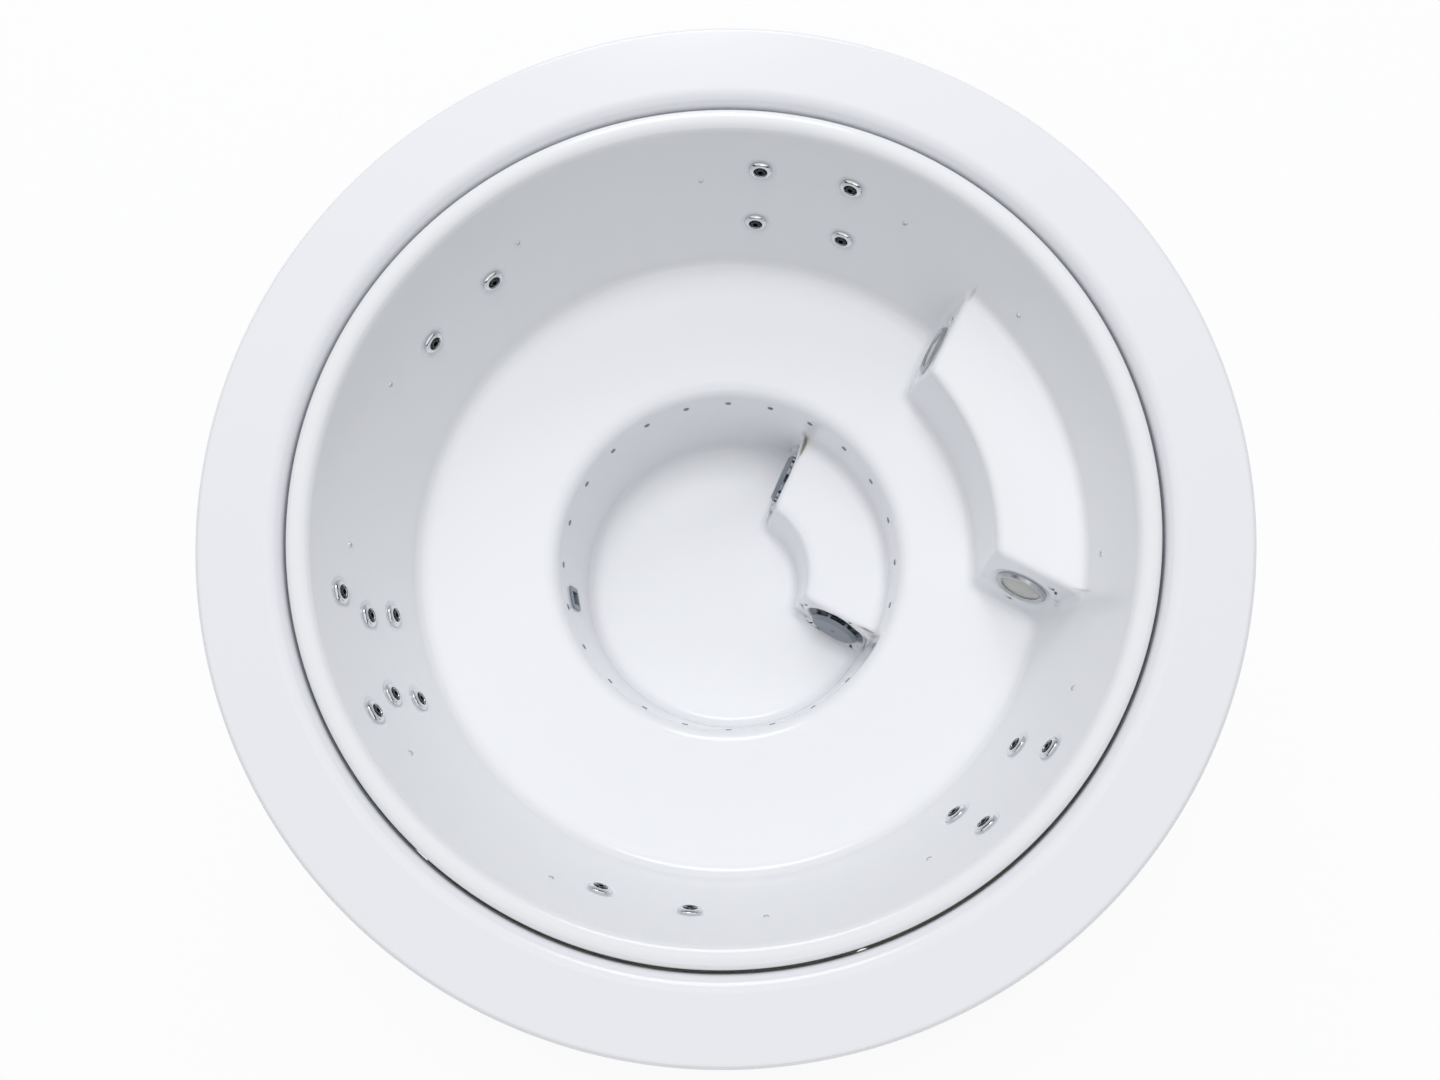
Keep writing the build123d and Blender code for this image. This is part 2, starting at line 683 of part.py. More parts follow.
# A group's jets share one water riser and one air riser, with a branch to each jet
def middle_of(row):
    return sum(angle for angle, depth in row) / len(row)


def branch(row, place, port_back, riser_back):
    """Port on a jet's axis, the direction to its riser and the place where it joins that."""
    port = behind_wall(*place, port_back)
    join = behind_wall(middle_of(row), place[1], riser_back)
    return port, (join - port).normalized(), join


def bosses(port_back, reach, radius, riser_back):
    ends = [branch(row, place, port_back, riser_back) for row in JET_ROWS for place in row]
    return [rod(port, port + run * reach, radius) for port, run, join in ends]


def risers(port_back, reach, pipe_r, riser_back, riser_r, main_depth, main_r):
    """Each group's riser from its tee on the main to above its top branch, with the branches."""
    pipes = []
    for row in JET_ROWS:
        base = behind_wall(middle_of(row), main_depth, riser_back)
        top = behind_wall(middle_of(row), min(depth for angle, depth in row), riser_back)
        climb = (top - base).normalized()
        tee = main_r + FITTING_WALL + TEE_REACH
        pipes.append(rod(base + climb * tee, top + climb * (pipe_r + RISER_OVER), riser_r))
        for place in row:
            port, run, join = branch(row, place, port_back, riser_back)
            pipes.append(rod(port + run * reach, join, pipe_r))
    return pipes


with BuildPart() as jet_bodies:
    with Locations(*jet_planes):
        add(jet_body_form)
    add(bosses(WATER_PORT_BACK, WATER_PORT_REACH, WATER_BOSS_R, WATER_RISER_BACK))
    add(bosses(AIR_PORT_BACK, AIR_PORT_REACH, AIR_BOSS_R, AIR_RISER_BACK))
    with Locations(*[plane.offset(gasket_back) for plane in jet_planes]):
        Cylinder(
            THREAD_R + THREAD_PLAY, JET_BODY_DEPTH + gasket_back - JET_BODY_WALL,
            align=(Align.CENTER, Align.CENTER, Align.MAX), mode=Mode.SUBTRACT,
        )
save(jet_bodies.part, "jet_bodies")

with BuildPart() as water_risers:
    add(
        risers(
            WATER_PORT_BACK, WATER_PORT_REACH, WATER_PIPE_R, WATER_RISER_BACK, WATER_RISER_R,
            WATER_MAIN_DEPTH, WATER_MAIN_R,
        )
    )
save(water_risers.part, "water_risers")

with BuildPart() as air_risers:
    add(
        risers(
            AIR_PORT_BACK, AIR_PORT_REACH, AIR_PIPE_R, AIR_RISER_BACK, AIR_RISER_R,
            AIR_MAIN_DEPTH, AIR_MAIN_R,
        )
    )
save(air_risers.part, "air_risers")

# Ring mains: a joint under each riser, one between each two groups, and the plain ones
riser_angles = [middle_of(row) for row in JET_ROWS]
joint_angles = []
for here, after in zip(riser_angles, riser_angles[1:]):
    joint_angles += [here, (here + after) / 2]
joint_angles.append(riser_angles[-1])
plain_turn = (360.0 + riser_angles[0] - riser_angles[-1]) / (PLAIN_JOINTS + 1)
plain_angles = [riser_angles[-1] + plain_turn * (k + 1) for k in range(PLAIN_JOINTS)]
joint_angles += plain_angles
supply_angle = plain_angles[PLAIN_JOINTS // 2]


def ring_main(depth, back, pipe_r, riser_r, socket):
    """Ring of straight pipes between fittings, with a tee for each riser and a supply socket."""
    corners = [behind_wall(angle, depth, back) for angle in joint_angles]
    fitting_r = pipe_r + FITTING_WALL
    pipes = []
    for here, after in zip(corners, corners[1:] + corners[:1]):
        end = (after - here).normalized() * (FITTING_REACH + PIPE_PLAY)
        pipes.append(rod(here + end, after - end, pipe_r))
    for k, here in enumerate(corners):
        for other in (corners[k - 1], corners[(k + 1) % len(corners)]):
            run = (other - here).normalized()
            pipes.append(rod(here - run * FITTING_WALL, here + run * FITTING_REACH, fitting_r))
    for angle in riser_angles:
        base = behind_wall(angle, depth, back)
        climb = (behind_wall(angle, 0, back) - base).normalized()
        pipes.append(rod(base, base + climb * (fitting_r + TEE_REACH), riser_r + FITTING_WALL))
    inlet = behind_wall(supply_angle, depth, back)
    mouth = inlet + polar(fitting_r + PORT_LENGTH, supply_angle)
    pipes.append(rod(inlet, mouth, fitting_r))
    with BuildPart() as main:
        add(pipes)
        add(rod(mouth - polar(socket, supply_angle), mouth, pipe_r + SOCKET_PLAY), mode=Mode.SUBTRACT)
    return main.part


save(
    ring_main(WATER_MAIN_DEPTH, WATER_RISER_BACK, WATER_MAIN_R, WATER_RISER_R, WATER_SOCKET),
    "water_ring_main",
)
save(
    ring_main(AIR_MAIN_DEPTH, AIR_RISER_BACK, AIR_MAIN_R, AIR_RISER_R, AIR_SOCKET),
    "air_ring_main",
)

# Small lights in the wall: bezel on a threaded stem, and its lens
bezel_floor = BEZEL_THICK / 3
bezel_form = ring_form(
    (0, -STEM_LENGTH),
    (BEZEL_STEM_R, -STEM_LENGTH),
    (BEZEL_STEM_R, FLANGE_LIFT),
    (BEZEL_R, FLANGE_LIFT),
    (BEZEL_R - bezel_floor, BEZEL_THICK),
    (LENS_R + STEM_PLAY, BEZEL_THICK),
    (LENS_R + STEM_PLAY, bezel_floor),
    (0, bezel_floor),
)
wall_lens_form = ring_form(
    (0, bezel_floor),
    (LENS_R, bezel_floor),
    (LENS_R, BEZEL_THICK),
    (0, BEZEL_THICK + bezel_floor),
)
with BuildPart() as wall_light_bezels:
    with Locations(*wall_light_planes):
        add(bezel_form)
save(wall_light_bezels.part, "wall_light_bezels")

with BuildPart() as wall_light_lenses:
    with Locations(*wall_light_planes):
        add(wall_lens_form)
save(wall_light_lenses.part, "wall_light_lenses")

# Step lights, z out of the step from the floor of their dish: a can through the step's end,
# with its flange under a trim ring, and a lens in front
can_front = CAN_WALL / 2
housing_form = ring_form(
    (0, -LIGHT_CAN_DEPTH - GLAND_LENGTH),
    (GLAND_R, -LIGHT_CAN_DEPTH - GLAND_LENGTH),
    (GLAND_R, -LIGHT_CAN_DEPTH),
    (LIGHT_CAN_R, -LIGHT_CAN_DEPTH),
    (LIGHT_CAN_R, 0),
    (CAN_FLANGE_R, 0),
    (CAN_FLANGE_R, can_front),
    (LIGHT_CAN_R - CAN_WALL, can_front),
    (LIGHT_CAN_R - CAN_WALL, CAN_WALL - LIGHT_CAN_DEPTH),
    (0, CAN_WALL - LIGHT_CAN_DEPTH),
)
light_ring_form = ring_form(
    (CAN_FLANGE_R + THREAD_PLAY, 0),
    (STEP_LIGHT_R, 0),
    (STEP_LIGHT_R, STEP_RING / 2),
    (STEP_LIGHT_R - STEP_RING / 2, STEP_RING),
    (STEP_LENS_R + STEP_RING / 2, STEP_RING),
    (STEP_LENS_R + THREAD_PLAY, 2 * STEP_RING / 3),
    (STEP_LENS_R + THREAD_PLAY, can_front),
    (CAN_FLANGE_R + THREAD_PLAY, can_front),
)
step_lens_form = ring_form(
    (0, can_front),
    (STEP_LENS_R, can_front),
    (STEP_LENS_R, STEP_RING / 2),
    (STEP_LENS_R - STEP_RING, 2 * STEP_RING / 3),
    (0, STEP_RING),
)
for name, form in (
    ("step_light_housings", housing_form),
    ("step_light_rings", light_ring_form),
    ("step_light_lenses", step_lens_form),
):
    with BuildPart() as piece:
        with Locations(*light_floors):
            add(form)
    save(piece.part, name)

# Nuts behind the sheet: a hexagon on each wall light's stem, a ring on each step light's can
with BuildPart() as stem_nut:
    with BuildSketch(Plane.XY.offset(gasket_front)):
        RegularPolygon(LIGHT_NUT_R, 6)
        Circle(BEZEL_STEM_R + STEM_PLAY, mode=Mode.SUBTRACT)
    extrude(amount=-LIGHT_NUT)
can_nut = ring_form(
    (LIGHT_CAN_R + THREAD_PLAY, gasket_front),
    (CAN_FLANGE_R, gasket_front),
    (CAN_FLANGE_R, gasket_front - CAN_NUT),
    (LIGHT_CAN_R + THREAD_PLAY, gasket_front - CAN_NUT),
)
with BuildPart() as light_nuts:
    with Locations(*wall_light_planes):
        add(stem_nut.part)
    with Locations(*light_floors):
        add(can_nut)
save(light_nuts.part, "light_nuts")

# Suctions, z out of the step from the floor of their recess: body through the step's end with
# its gasket and nut behind, drum cover with side windows, and one screw through its middle
neck_back = SUCTION_RECESS - NECK_DEPTH
cover_foot = SUCTION_FLANGE + COVER_BASE
cover_top = SUCTION_FLANGE + COVER_HEIGHT
screw_seat = cover_top - SCREW_HEAD
pipe_bore = WATER_MAIN_R - COVER_WALL
with BuildPart() as suction_body:
    add(
        ring_form(
            (NECK_BORE, SUCTION_FLANGE),
            (SUCTION_FLANGE_R, SUCTION_FLANGE),
            (SUCTION_FLANGE_R, 0),
            (NECK_R, 0),
            (NECK_R, neck_back),
            (pipe_bore, neck_back),
            (pipe_bore, neck_back + COVER_WALL),
            (NECK_BORE, neck_back + COVER_WALL),
        )
    )
    with BuildSketch():
        Rectangle(2 * NECK_BORE, SPIDER_WIDTH)
        Rectangle(SPIDER_WIDTH, 2 * NECK_BORE)
        Circle(POST_R)
        Circle(SCREW_R + THREAD_PLAY, mode=Mode.SUBTRACT)
    extrude(amount=SUCTION_FLANGE)

with BuildPart() as suction_cover:
    add(
        ring_form(
            (COVER_R - COVER_WALL, SUCTION_FLANGE),
            (COVER_BASE_R, SUCTION_FLANGE),
            (COVER_BASE_R, cover_foot),
            (COVER_R, cover_foot),
            (COVER_R, cover_top - COVER_CHAMFER),
            (COVER_R - COVER_CHAMFER, cover_top),
            (SCREW_HEAD_R + THREAD_PLAY, cover_top),
            (SCREW_HEAD_R + THREAD_PLAY, screw_seat),
            (SCREW_R + THREAD_PLAY, screw_seat),
            (SCREW_R + THREAD_PLAY, SUCTION_FLANGE),
            (POST_R, SUCTION_FLANGE),
            (POST_R, screw_seat - COVER_WALL),
            (COVER_R - COVER_CHAMFER - COVER_WALL, screw_seat - COVER_WALL),
            (COVER_R - COVER_WALL, screw_seat - COVER_CHAMFER),
        )
    )
    window_width = 2 * pi * COVER_R / WINDOW_COUNT - WINDOW_RIB
    with Locations((0, 0, (cover_foot + cover_top - COVER_CHAMFER) / 2)):
        with PolarLocations(COVER_R, WINDOW_COUNT):
            Box(4 * COVER_WALL, window_width, WINDOW_HEIGHT, mode=Mode.SUBTRACT)

suction_gasket = ring_form(
    (NECK_R + THREAD_PLAY, -SHELL),
    (SUCTION_FLANGE_R, -SHELL),
    (SUCTION_FLANGE_R, gasket_back),
    (NECK_R + THREAD_PLAY, gasket_back),
)
suction_nut = ring_form(
    (NECK_R + THREAD_PLAY, gasket_back),
    (SUCTION_NUT_R, gasket_back),
    (SUCTION_NUT_R, gasket_back - SUCTION_NUT),
    (NECK_R + THREAD_PLAY, gasket_back - SUCTION_NUT),
)
suction_screw = ring_form(
    (0, -SUCTION_FLANGE),
    (SCREW_R, -SUCTION_FLANGE),
    (SCREW_R, screw_seat),
    (SCREW_HEAD_R, screw_seat),
    (SCREW_HEAD_R, cover_top - SCREW_HEAD / 3),
    (0, cover_top - SCREW_HEAD / 3),
)
for name, form in (
    ("suction_bodies", suction_body.part),
    ("suction_covers", suction_cover.part),
    ("suction_gaskets", suction_gasket),
    ("suction_nuts", suction_nut),
    ("suction_screws", suction_screw),
):
    with BuildPart() as piece:
        with Locations(*recess_floors):
            add(form)
    save(piece.part, name)

# Suction line: the pipes of both bodies meet in a tee beyond the footwell, then run out to a
# socket, with a small branch for the drain
necks = [plane.origin + plane.z_dir * neck_back for plane in recess_floors]
heading = polar(1, STEP_AXIS)
across = polar(1, STEP_AXIS - 90)
inward = -recess_floors[0].z_dir
tee = necks[0] - inward * (necks[0].dot(across) / inward.dot(across))
line_end = polar(SUCTION_PORT_R, STEP_AXIS, tee.Z)
drain = polar(DRAIN_AT, STEP_AXIS, tee.Z)
valve_start = drain + across * (WATER_MAIN_R + DRAIN_PIPE)
tee_r = WATER_MAIN_R + FITTING_WALL
line_pipes = [
    rod(tee, line_end, WATER_MAIN_R),
    rod(tee - heading * FITTING_WALL, tee + heading * FITTING_REACH, tee_r),
    rod(line_end - heading * (WATER_SOCKET + FITTING_WALL), line_end, tee_r),
    rod(drain, valve_start, DRAIN_PIPE_R),
]
for neck in necks:
    line_pipes.append(rod(neck, tee, WATER_MAIN_R))
    line_pipes.append(rod(tee - (tee - neck).normalized() * FITTING_REACH, tee, tee_r))
with BuildPart() as suction_line:
    add(line_pipes)
    add(rod(line_end - heading * WATER_SOCKET, line_end, WATER_MAIN_R + SOCKET_PLAY), mode=Mode.SUBTRACT)
save(suction_line.part, "suction_line")

valve_end = valve_start + across * (2 * VALVE_UNION + VALVE_LENGTH)
valve_middle = (valve_start + valve_end) / 2
hub_top = valve_middle + Vector(0, 0, VALVE_R + VALVE_HUB)
with BuildPart() as drain_valve_body:
    add(
        [
            rod(valve_start, valve_end, VALVE_R),
            rod(valve_start, valve_start + across * VALVE_UNION, VALVE_UNION_R),
            rod(valve_end - across * VALVE_UNION, valve_end, VALVE_UNION_R),
            rod(valve_end, valve_end + across * DRAIN_SPIGOT, DRAIN_PIPE_R),
            rod(valve_middle, hub_top, VALVE_HUB_R),
        ]
    )
save(drain_valve_body.part, "drain_valve_body")

stem_base = hub_top + Vector(0, 0, LEVER_PLAY)
lever_base = stem_base + Vector(0, 0, VALVE_STEM)
with BuildPart() as drain_valve_lever:
    add(rod(stem_base, lever_base, VALVE_STEM_R))
    with BuildSketch(Plane(origin=lever_base, x_dir=heading, z_dir=(0, 0, 1))):
        with Locations(((LEVER_LENGTH - LEVER_WIDTH) / 2, 0)):
            SlotOverall(LEVER_LENGTH, LEVER_WIDTH)
    extrude(amount=LEVER_THICK)
save(drain_valve_lever.part, "drain_valve_lever")

# Footwell air: slotted nozzles that open into a channel round the back of the footwell wall
nozzle_top = FLANGE_LIFT + NOZZLE_FLANGE
with BuildPart() as air_nozzle:
    add(
        ring_form(
            (0, -NOZZLE_STEM),
            (NOZZLE_STEM_R, -NOZZLE_STEM),
            (NOZZLE_STEM_R, FLANGE_LIFT),
            (NOZZLE_FLANGE_R, FLANGE_LIFT),
            (NOZZLE_FLANGE_R, nozzle_top),
            (0, nozzle_top),
        )
    )
    with Locations((0, 0, nozzle_top)):
        Box(*NOZZLE_SLOT, mode=Mode.SUBTRACT)
with BuildPart() as footwell_air_nozzles:
    with Locations(*nozzle_planes):
        add(air_nozzle.part)
save(footwell_air_nozzles.part, "footwell_air_nozzles")

channel_top = AIR_NOZZLE_DEPTH - CHANNEL_HEIGHT / 2
channel_bottom = AIR_NOZZLE_DEPTH + CHANNEL_HEIGHT / 2
channel_near = SHELL + THREAD_PLAY
channel_far = SHELL + CHANNEL_DEPTH
blower_r, blower_z = behind_well(AIR_NOZZLE_DEPTH, channel_far - CHANNEL_WALL / 2)
blower_start = polar(blower_r, BLOWER_ANGLE, blower_z)
blower_end = blower_start + polar(BLOWER_LENGTH, BLOWER_ANGLE)
with BuildPart() as footwell_air_channel:
    add(
        ring_form(
            behind_well(channel_top, channel_near),
            behind_well(channel_top, channel_far),
            behind_well(channel_bottom, channel_far),
            behind_well(channel_bottom, channel_near),
            behind_well(channel_bottom - CHANNEL_WALL, channel_near),
            behind_well(channel_bottom - CHANNEL_WALL, channel_far - CHANNEL_WALL),
            behind_well(channel_top + CHANNEL_WALL, channel_far - CHANNEL_WALL),
            behind_well(channel_top + CHANNEL_WALL, channel_near),
        )
    )
    add(rod(blower_start, blower_end, BLOWER_R))
    add(rod(blower_start, blower_start + polar(BLOWER_BOSS, BLOWER_ANGLE), BLOWER_R + CHANNEL_WALL))
    add(
        rod(blower_start - polar(CHANNEL_DEPTH / 2, BLOWER_ANGLE), blower_end, BLOWER_R - CHANNEL_WALL),
        mode=Mode.SUBTRACT,
    )
save(footwell_air_channel.part, "footwell_air_channel")

# Return inlet: frame in the footwell wall, a neck through it, a chamber and a pipe socket
inlet_lift = FLANGE_LIFT + INLET_WIDTH ** 2 / 8 / well_r(INLET_DEPTH)
neck_width = INLET_WIDTH - 2 * INLET_FRAME
neck_height = INLET_HEIGHT - 2 * INLET_FRAME
chamber_back = -SHELL - INLET_CHAMBER
with BuildPart() as inlet_form:
    with BuildSketch(Plane.XY.offset(inlet_lift)):
        RectangleRounded(INLET_WIDTH, INLET_HEIGHT, INLET_FRAME)
    extrude(amount=INLET_PROUD)
    with BuildSketch(Plane.XY.offset(inlet_lift)):
        Rectangle(neck_width, neck_height)
    extrude(amount=-inlet_lift - SHELL)
    with BuildSketch(Plane.XY.offset(-SHELL)):
        Rectangle(INLET_WIDTH, INLET_HEIGHT)
    extrude(amount=-INLET_CHAMBER)
    with BuildSketch(Plane.XY.offset(chamber_back)):
        Circle(INLET_PIPE_R + FITTING_WALL)
    extrude(amount=-INLET_PIPE)
    with BuildSketch(Plane.XY.offset(inlet_lift + INLET_PROUD)):
        Rectangle(neck_width - 2 * INLET_WALL, neck_height - 2 * INLET_WALL)
    extrude(amount=chamber_back + INLET_WALL - inlet_lift - INLET_PROUD, mode=Mode.SUBTRACT)
    with BuildSketch(Plane.XY.offset(chamber_back - INLET_PIPE)):
        Circle(INLET_PIPE_R + SOCKET_PLAY)
    extrude(amount=WATER_SOCKET, mode=Mode.SUBTRACT)
with BuildPart() as return_inlet:
    with Locations(inlet_plane):
        add(inlet_form.part)
save(return_inlet.part, "return_inlet")


# Stand of square tube, each form made along X and set out round the tub
def beam(inner_r, outer_r, middle_z, hollow=True):
    """Level square tube from one radius to another."""
    with BuildPart() as tube:
        with BuildSketch(Plane.YZ.offset(inner_r)):
            with Locations((0, middle_z)):
                Rectangle(TUBE, TUBE)
                if hollow:
                    Rectangle(TUBE - 2 * TUBE_WALL, TUBE - 2 * TUBE_WALL, mode=Mode.SUBTRACT)
        extrude(amount=outer_r - inner_r)
    return tube.part


# The top ring is a rolled channel, open below, that stands on the legs' walls
with BuildPart() as frame_top_ring:
    add(
        ring_form(
            (LEG_R - TUBE / 2, RING_BOTTOM),
            (LEG_R - TUBE / 2, DECK_UNDER),
            (LEG_R + TUBE / 2, DECK_UNDER),
            (LEG_R + TUBE / 2, RING_BOTTOM),
            (LEG_R + TUBE / 2 - TUBE_WALL, RING_BOTTOM),
            (LEG_R + TUBE / 2 - TUBE_WALL, DECK_UNDER - TUBE_WALL),
            (LEG_R - TUBE / 2 + TUBE_WALL, DECK_UNDER - TUBE_WALL),
            (LEG_R - TUBE / 2 + TUBE_WALL, RING_BOTTOM),
        )
    )
save(frame_top_ring.part, "frame_top_ring")

with BuildPart() as leg:
    with BuildSketch(Plane.XY.offset(BEAM_CLEAR)):
        Rectangle(TUBE, TUBE)
        Rectangle(TUBE - 2 * TUBE_WALL, TUBE - 2 * TUBE_WALL, mode=Mode.SUBTRACT)
    extrude(amount=RING_BOTTOM - BEAM_CLEAR)
    with BuildSketch(Plane.XY.offset(BEAM_CLEAR)):
        Rectangle(TUBE - 2 * TUBE_WALL, TUBE - 2 * TUBE_WALL)
        Circle(FOOT_STEM_R + FOOT_PLAY, mode=Mode.SUBTRACT)
    extrude(amount=LEG_PLUG)
with BuildPart() as frame_legs:
    with PolarLocations(LEG_R, LEGS, start_angle=FIRST_LEG):
        add(leg.part)
save(frame_legs.part, "frame_legs")

half_side = SEAT_FRAME_R * tan(radians(180.0 / LEGS))
with BuildPart() as seat_side:
    with BuildSketch(Plane.XZ):
        with Locations((SEAT_FRAME_R, ARM_MIDDLE)):
            Rectangle(TUBE, TUBE)
            Rectangle(TUBE - 2 * TUBE_WALL, TUBE - 2 * TUBE_WALL, mode=Mode.SUBTRACT)
    extrude(amount=half_side, both=True)
with BuildPart() as frame_seat_support:
    with PolarLocations(0, LEGS, start_angle=FIRST_LEG + 180.0 / LEGS):
        add(seat_side.part)
    with PolarLocations(0, LEGS, start_angle=FIRST_LEG):
        add(beam(ARM_INNER_R, LEG_INNER_R, ARM_MIDDLE, hollow=False), mode=Mode.SUBTRACT)
        add(beam(ARM_INNER_R, LEG_INNER_R, ARM_MIDDLE))
save(frame_seat_support.part, "frame_seat_support")

with BuildPart() as frame_floor_beams:
    with PolarLocations(0, LEGS, start_angle=FIRST_LEG):
        add(beam(BEAM_INNER_R, LEG_INNER_R, BEAM_TOP - TUBE / 2))
    with Locations((0, 0, BEAM_CLEAR)):
        Cylinder(HUB_R, TUBE, align=(Align.CENTER, Align.CENTER, Align.MIN))
save(frame_floor_beams.part, "frame_floor_beams")

with BuildPart() as floor_board:
    with Locations((0, 0, BEAM_TOP)):
        Cylinder(BOARD_R, BOARD, align=(Align.CENTER, Align.CENTER, Align.MIN))
save(floor_board.part, "floor_board")

with BuildPart() as seat_pads:
    with PolarLocations(ARM_INNER_R + SEAT_PAD_LENGTH / 2, LEGS, start_angle=FIRST_LEG):
        with Locations((0, 0, ARM_TOP)):
            Box(SEAT_PAD_LENGTH, TUBE, SEAT_PAD, align=(Align.CENTER, Align.CENTER, Align.MIN))
save(seat_pads.part, "seat_pads")

with BuildPart() as bracket:
    with BuildSketch(Plane.XZ):
        with BuildLine():
            Polyline(
                (LEG_INNER_R, GUTTER_UNDER),
                (LEG_INNER_R - BRACKET_REACH, GUTTER_UNDER),
                (LEG_INNER_R - BRACKET_REACH, GUTTER_UNDER - BRACKET),
                (LEG_INNER_R - BRACKET, GUTTER_UNDER - BRACKET),
                (LEG_INNER_R - BRACKET, GUTTER_UNDER - BRACKET_DROP),
                (LEG_INNER_R, GUTTER_UNDER - BRACKET_DROP),
                close=True,
            )
        make_face()
    extrude(amount=BRACKET_WIDTH / 2, both=True)
    with BuildSketch(Plane.XZ):
        with BuildLine():
            Polyline(
                (LEG_INNER_R - BRACKET_REACH, GUTTER_UNDER - BRACKET),
                (LEG_INNER_R - BRACKET, GUTTER_UNDER - BRACKET_DROP),
                (LEG_INNER_R - BRACKET, GUTTER_UNDER - BRACKET),
                close=True,
            )
        make_face()
    extrude(amount=BRACKET_WEB / 2, both=True)
with BuildPart() as gutter_brackets:
    with PolarLocations(0, LEGS, start_angle=FIRST_LEG):
        add(bracket.part)
save(gutter_brackets.part, "gutter_brackets")

# Levelling feet: pad, hexagon and thread that screws out of the leg
for number, angle in enumerate(LEG_ANGLES, start=1):
    with BuildPart() as levelling_foot:
        with Locations(polar(LEG_R, angle)):
            Cylinder(FOOT_PAD_R, FOOT_PAD, align=(Align.CENTER, Align.CENTER, Align.MIN))
        chamfer(levelling_foot.edges().sort_by(Axis.Z)[-1], length=FOOT_PAD / 3)
        with Locations(polar(LEG_R, angle, FOOT_PAD)):
            Cylinder(FOOT_STEM_R, FOOT_STEM, align=(Align.CENTER, Align.CENTER, Align.MIN))
        with BuildSketch(Plane(origin=polar(LEG_R, angle, FOOT_PAD))):
            RegularPolygon(FOOT_NUT_R, 6)
        extrude(amount=FOOT_NUT)
    save(levelling_foot.part, f"levelling_foot_{number}")
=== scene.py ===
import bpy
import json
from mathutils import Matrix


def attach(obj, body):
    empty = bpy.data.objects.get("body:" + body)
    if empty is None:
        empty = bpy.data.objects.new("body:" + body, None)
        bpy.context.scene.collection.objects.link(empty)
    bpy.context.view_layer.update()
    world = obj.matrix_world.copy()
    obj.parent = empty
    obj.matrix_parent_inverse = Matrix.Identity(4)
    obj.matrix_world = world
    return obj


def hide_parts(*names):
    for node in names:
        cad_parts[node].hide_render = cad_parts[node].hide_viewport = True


bl_info = {
    "name": "Round Overflow Hot Tub",
    "version": (1, 0, 0),
    "blender": (4, 5, 0),
    "location": "View3D > Sidebar > Hot Tub",
    "description": "Surfaces, finishes and studio of a round built-in overflow hot tub",
    "category": "Add Mesh",
}

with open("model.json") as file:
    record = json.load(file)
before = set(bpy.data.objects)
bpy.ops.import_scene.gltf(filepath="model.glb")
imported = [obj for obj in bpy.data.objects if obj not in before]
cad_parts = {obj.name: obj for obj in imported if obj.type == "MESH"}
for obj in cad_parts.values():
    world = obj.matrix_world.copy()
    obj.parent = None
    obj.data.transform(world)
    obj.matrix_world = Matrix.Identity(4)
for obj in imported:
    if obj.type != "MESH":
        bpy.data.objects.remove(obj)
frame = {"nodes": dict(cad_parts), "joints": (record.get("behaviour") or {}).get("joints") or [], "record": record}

import json
import math
from collections import namedtuple

import bpy
import numpy as np
from bpy.props import FloatProperty, FloatVectorProperty, PointerProperty

UP = np.array((0.0, 0.0, 1.0))
TINY = 1e-9

# Steps moulded into the sheet: tread height and inner radius in metres, then in degrees the
# face's draft, half the angle between the tread's corners, half the angle between the
# directions of its two ends, and the ends' draft
Step = namedtuple("Step", "top radius draft corner turn end_draft")
UPPER_STEP = Step(0.745, 0.648, 6.0, 21.3, 45.8, 10.0)
LOWER_STEP = Step(0.290, 0.209, 9.0, 37.5, 48.1, 7.0)
STEP_AXIS = 18.0

# Fittings that stand in holes of the sheet
STEP_LIGHT = (0.092, 0.130)      # along the tread's edge from its corner, and below the tread
SUCTION = (0.105, 0.102)
INLET_TURN = 190.3
INLET_DEPTH = 0.690
JET_PIVOT_BACK = 0.004           # behind the wall's face

# Dishes pressed into the sheet, as flat radius, edge radius and depth, and the suctions' recess,
# as radius, depth and the rounds at its foot and its edge
JET_DISH = (0.030, 0.043, 0.0025)
LIGHT_DISH = (0.068, 0.084, 0.005)
NICHE = (0.084, 0.022, 0.012, 0.009)

# Mesh round each fitting: faces nearer than the reach go, and rings of these radii fill the gap
# down to the hole. A suction's rings have heights too, down its recess.
JET_REACH, JET_RINGS = 0.046, (0.043, 0.040, 0.037, 0.034, 0.031, 0.028, 0.0246)
LIGHT_REACH, LIGHT_RINGS = 0.088, (0.084, 0.080, 0.076, 0.072, 0.068, 0.062, 0.056)
INLET_REACH, INLET_RINGS = 0.056, (0.044, 0.040, 0.035)
INLET_SQUARENESS, INLET_SLENDERNESS = 6.0, 1.346
NICHE_REACH = 0.094
NICHE_RINGS = (
    (0.093, 0.002), (0.090, 0.0), (0.0865, -0.002), (0.0845, -0.006), (0.084, -0.011),
    (0.083, -0.017), (0.079, -0.0215), (0.072, -0.022), (0.060, -0.022),
)
RINGS_TO_EVEN = 3                # rings over which a fitting's columns spread evenly
NEAR_FACE = 0.6                  # share of the reach that counts as near, along the fitting's axis

# Columns of the sheet in degrees, and how its rows are placed
FAN_STEP = 1.5
FAN_LEAST = 0.22
SETTLE_ROUNDS = 6
PLAIN_EVENNESS = 0.6             # the rest is eased towards both ends
TREAD_BLEND = 0.05               # tread width at which the rows follow the step in full
GRAZING = 1e-4                   # cosine below which a line runs along a step's end
FAR_OFF = 9.0

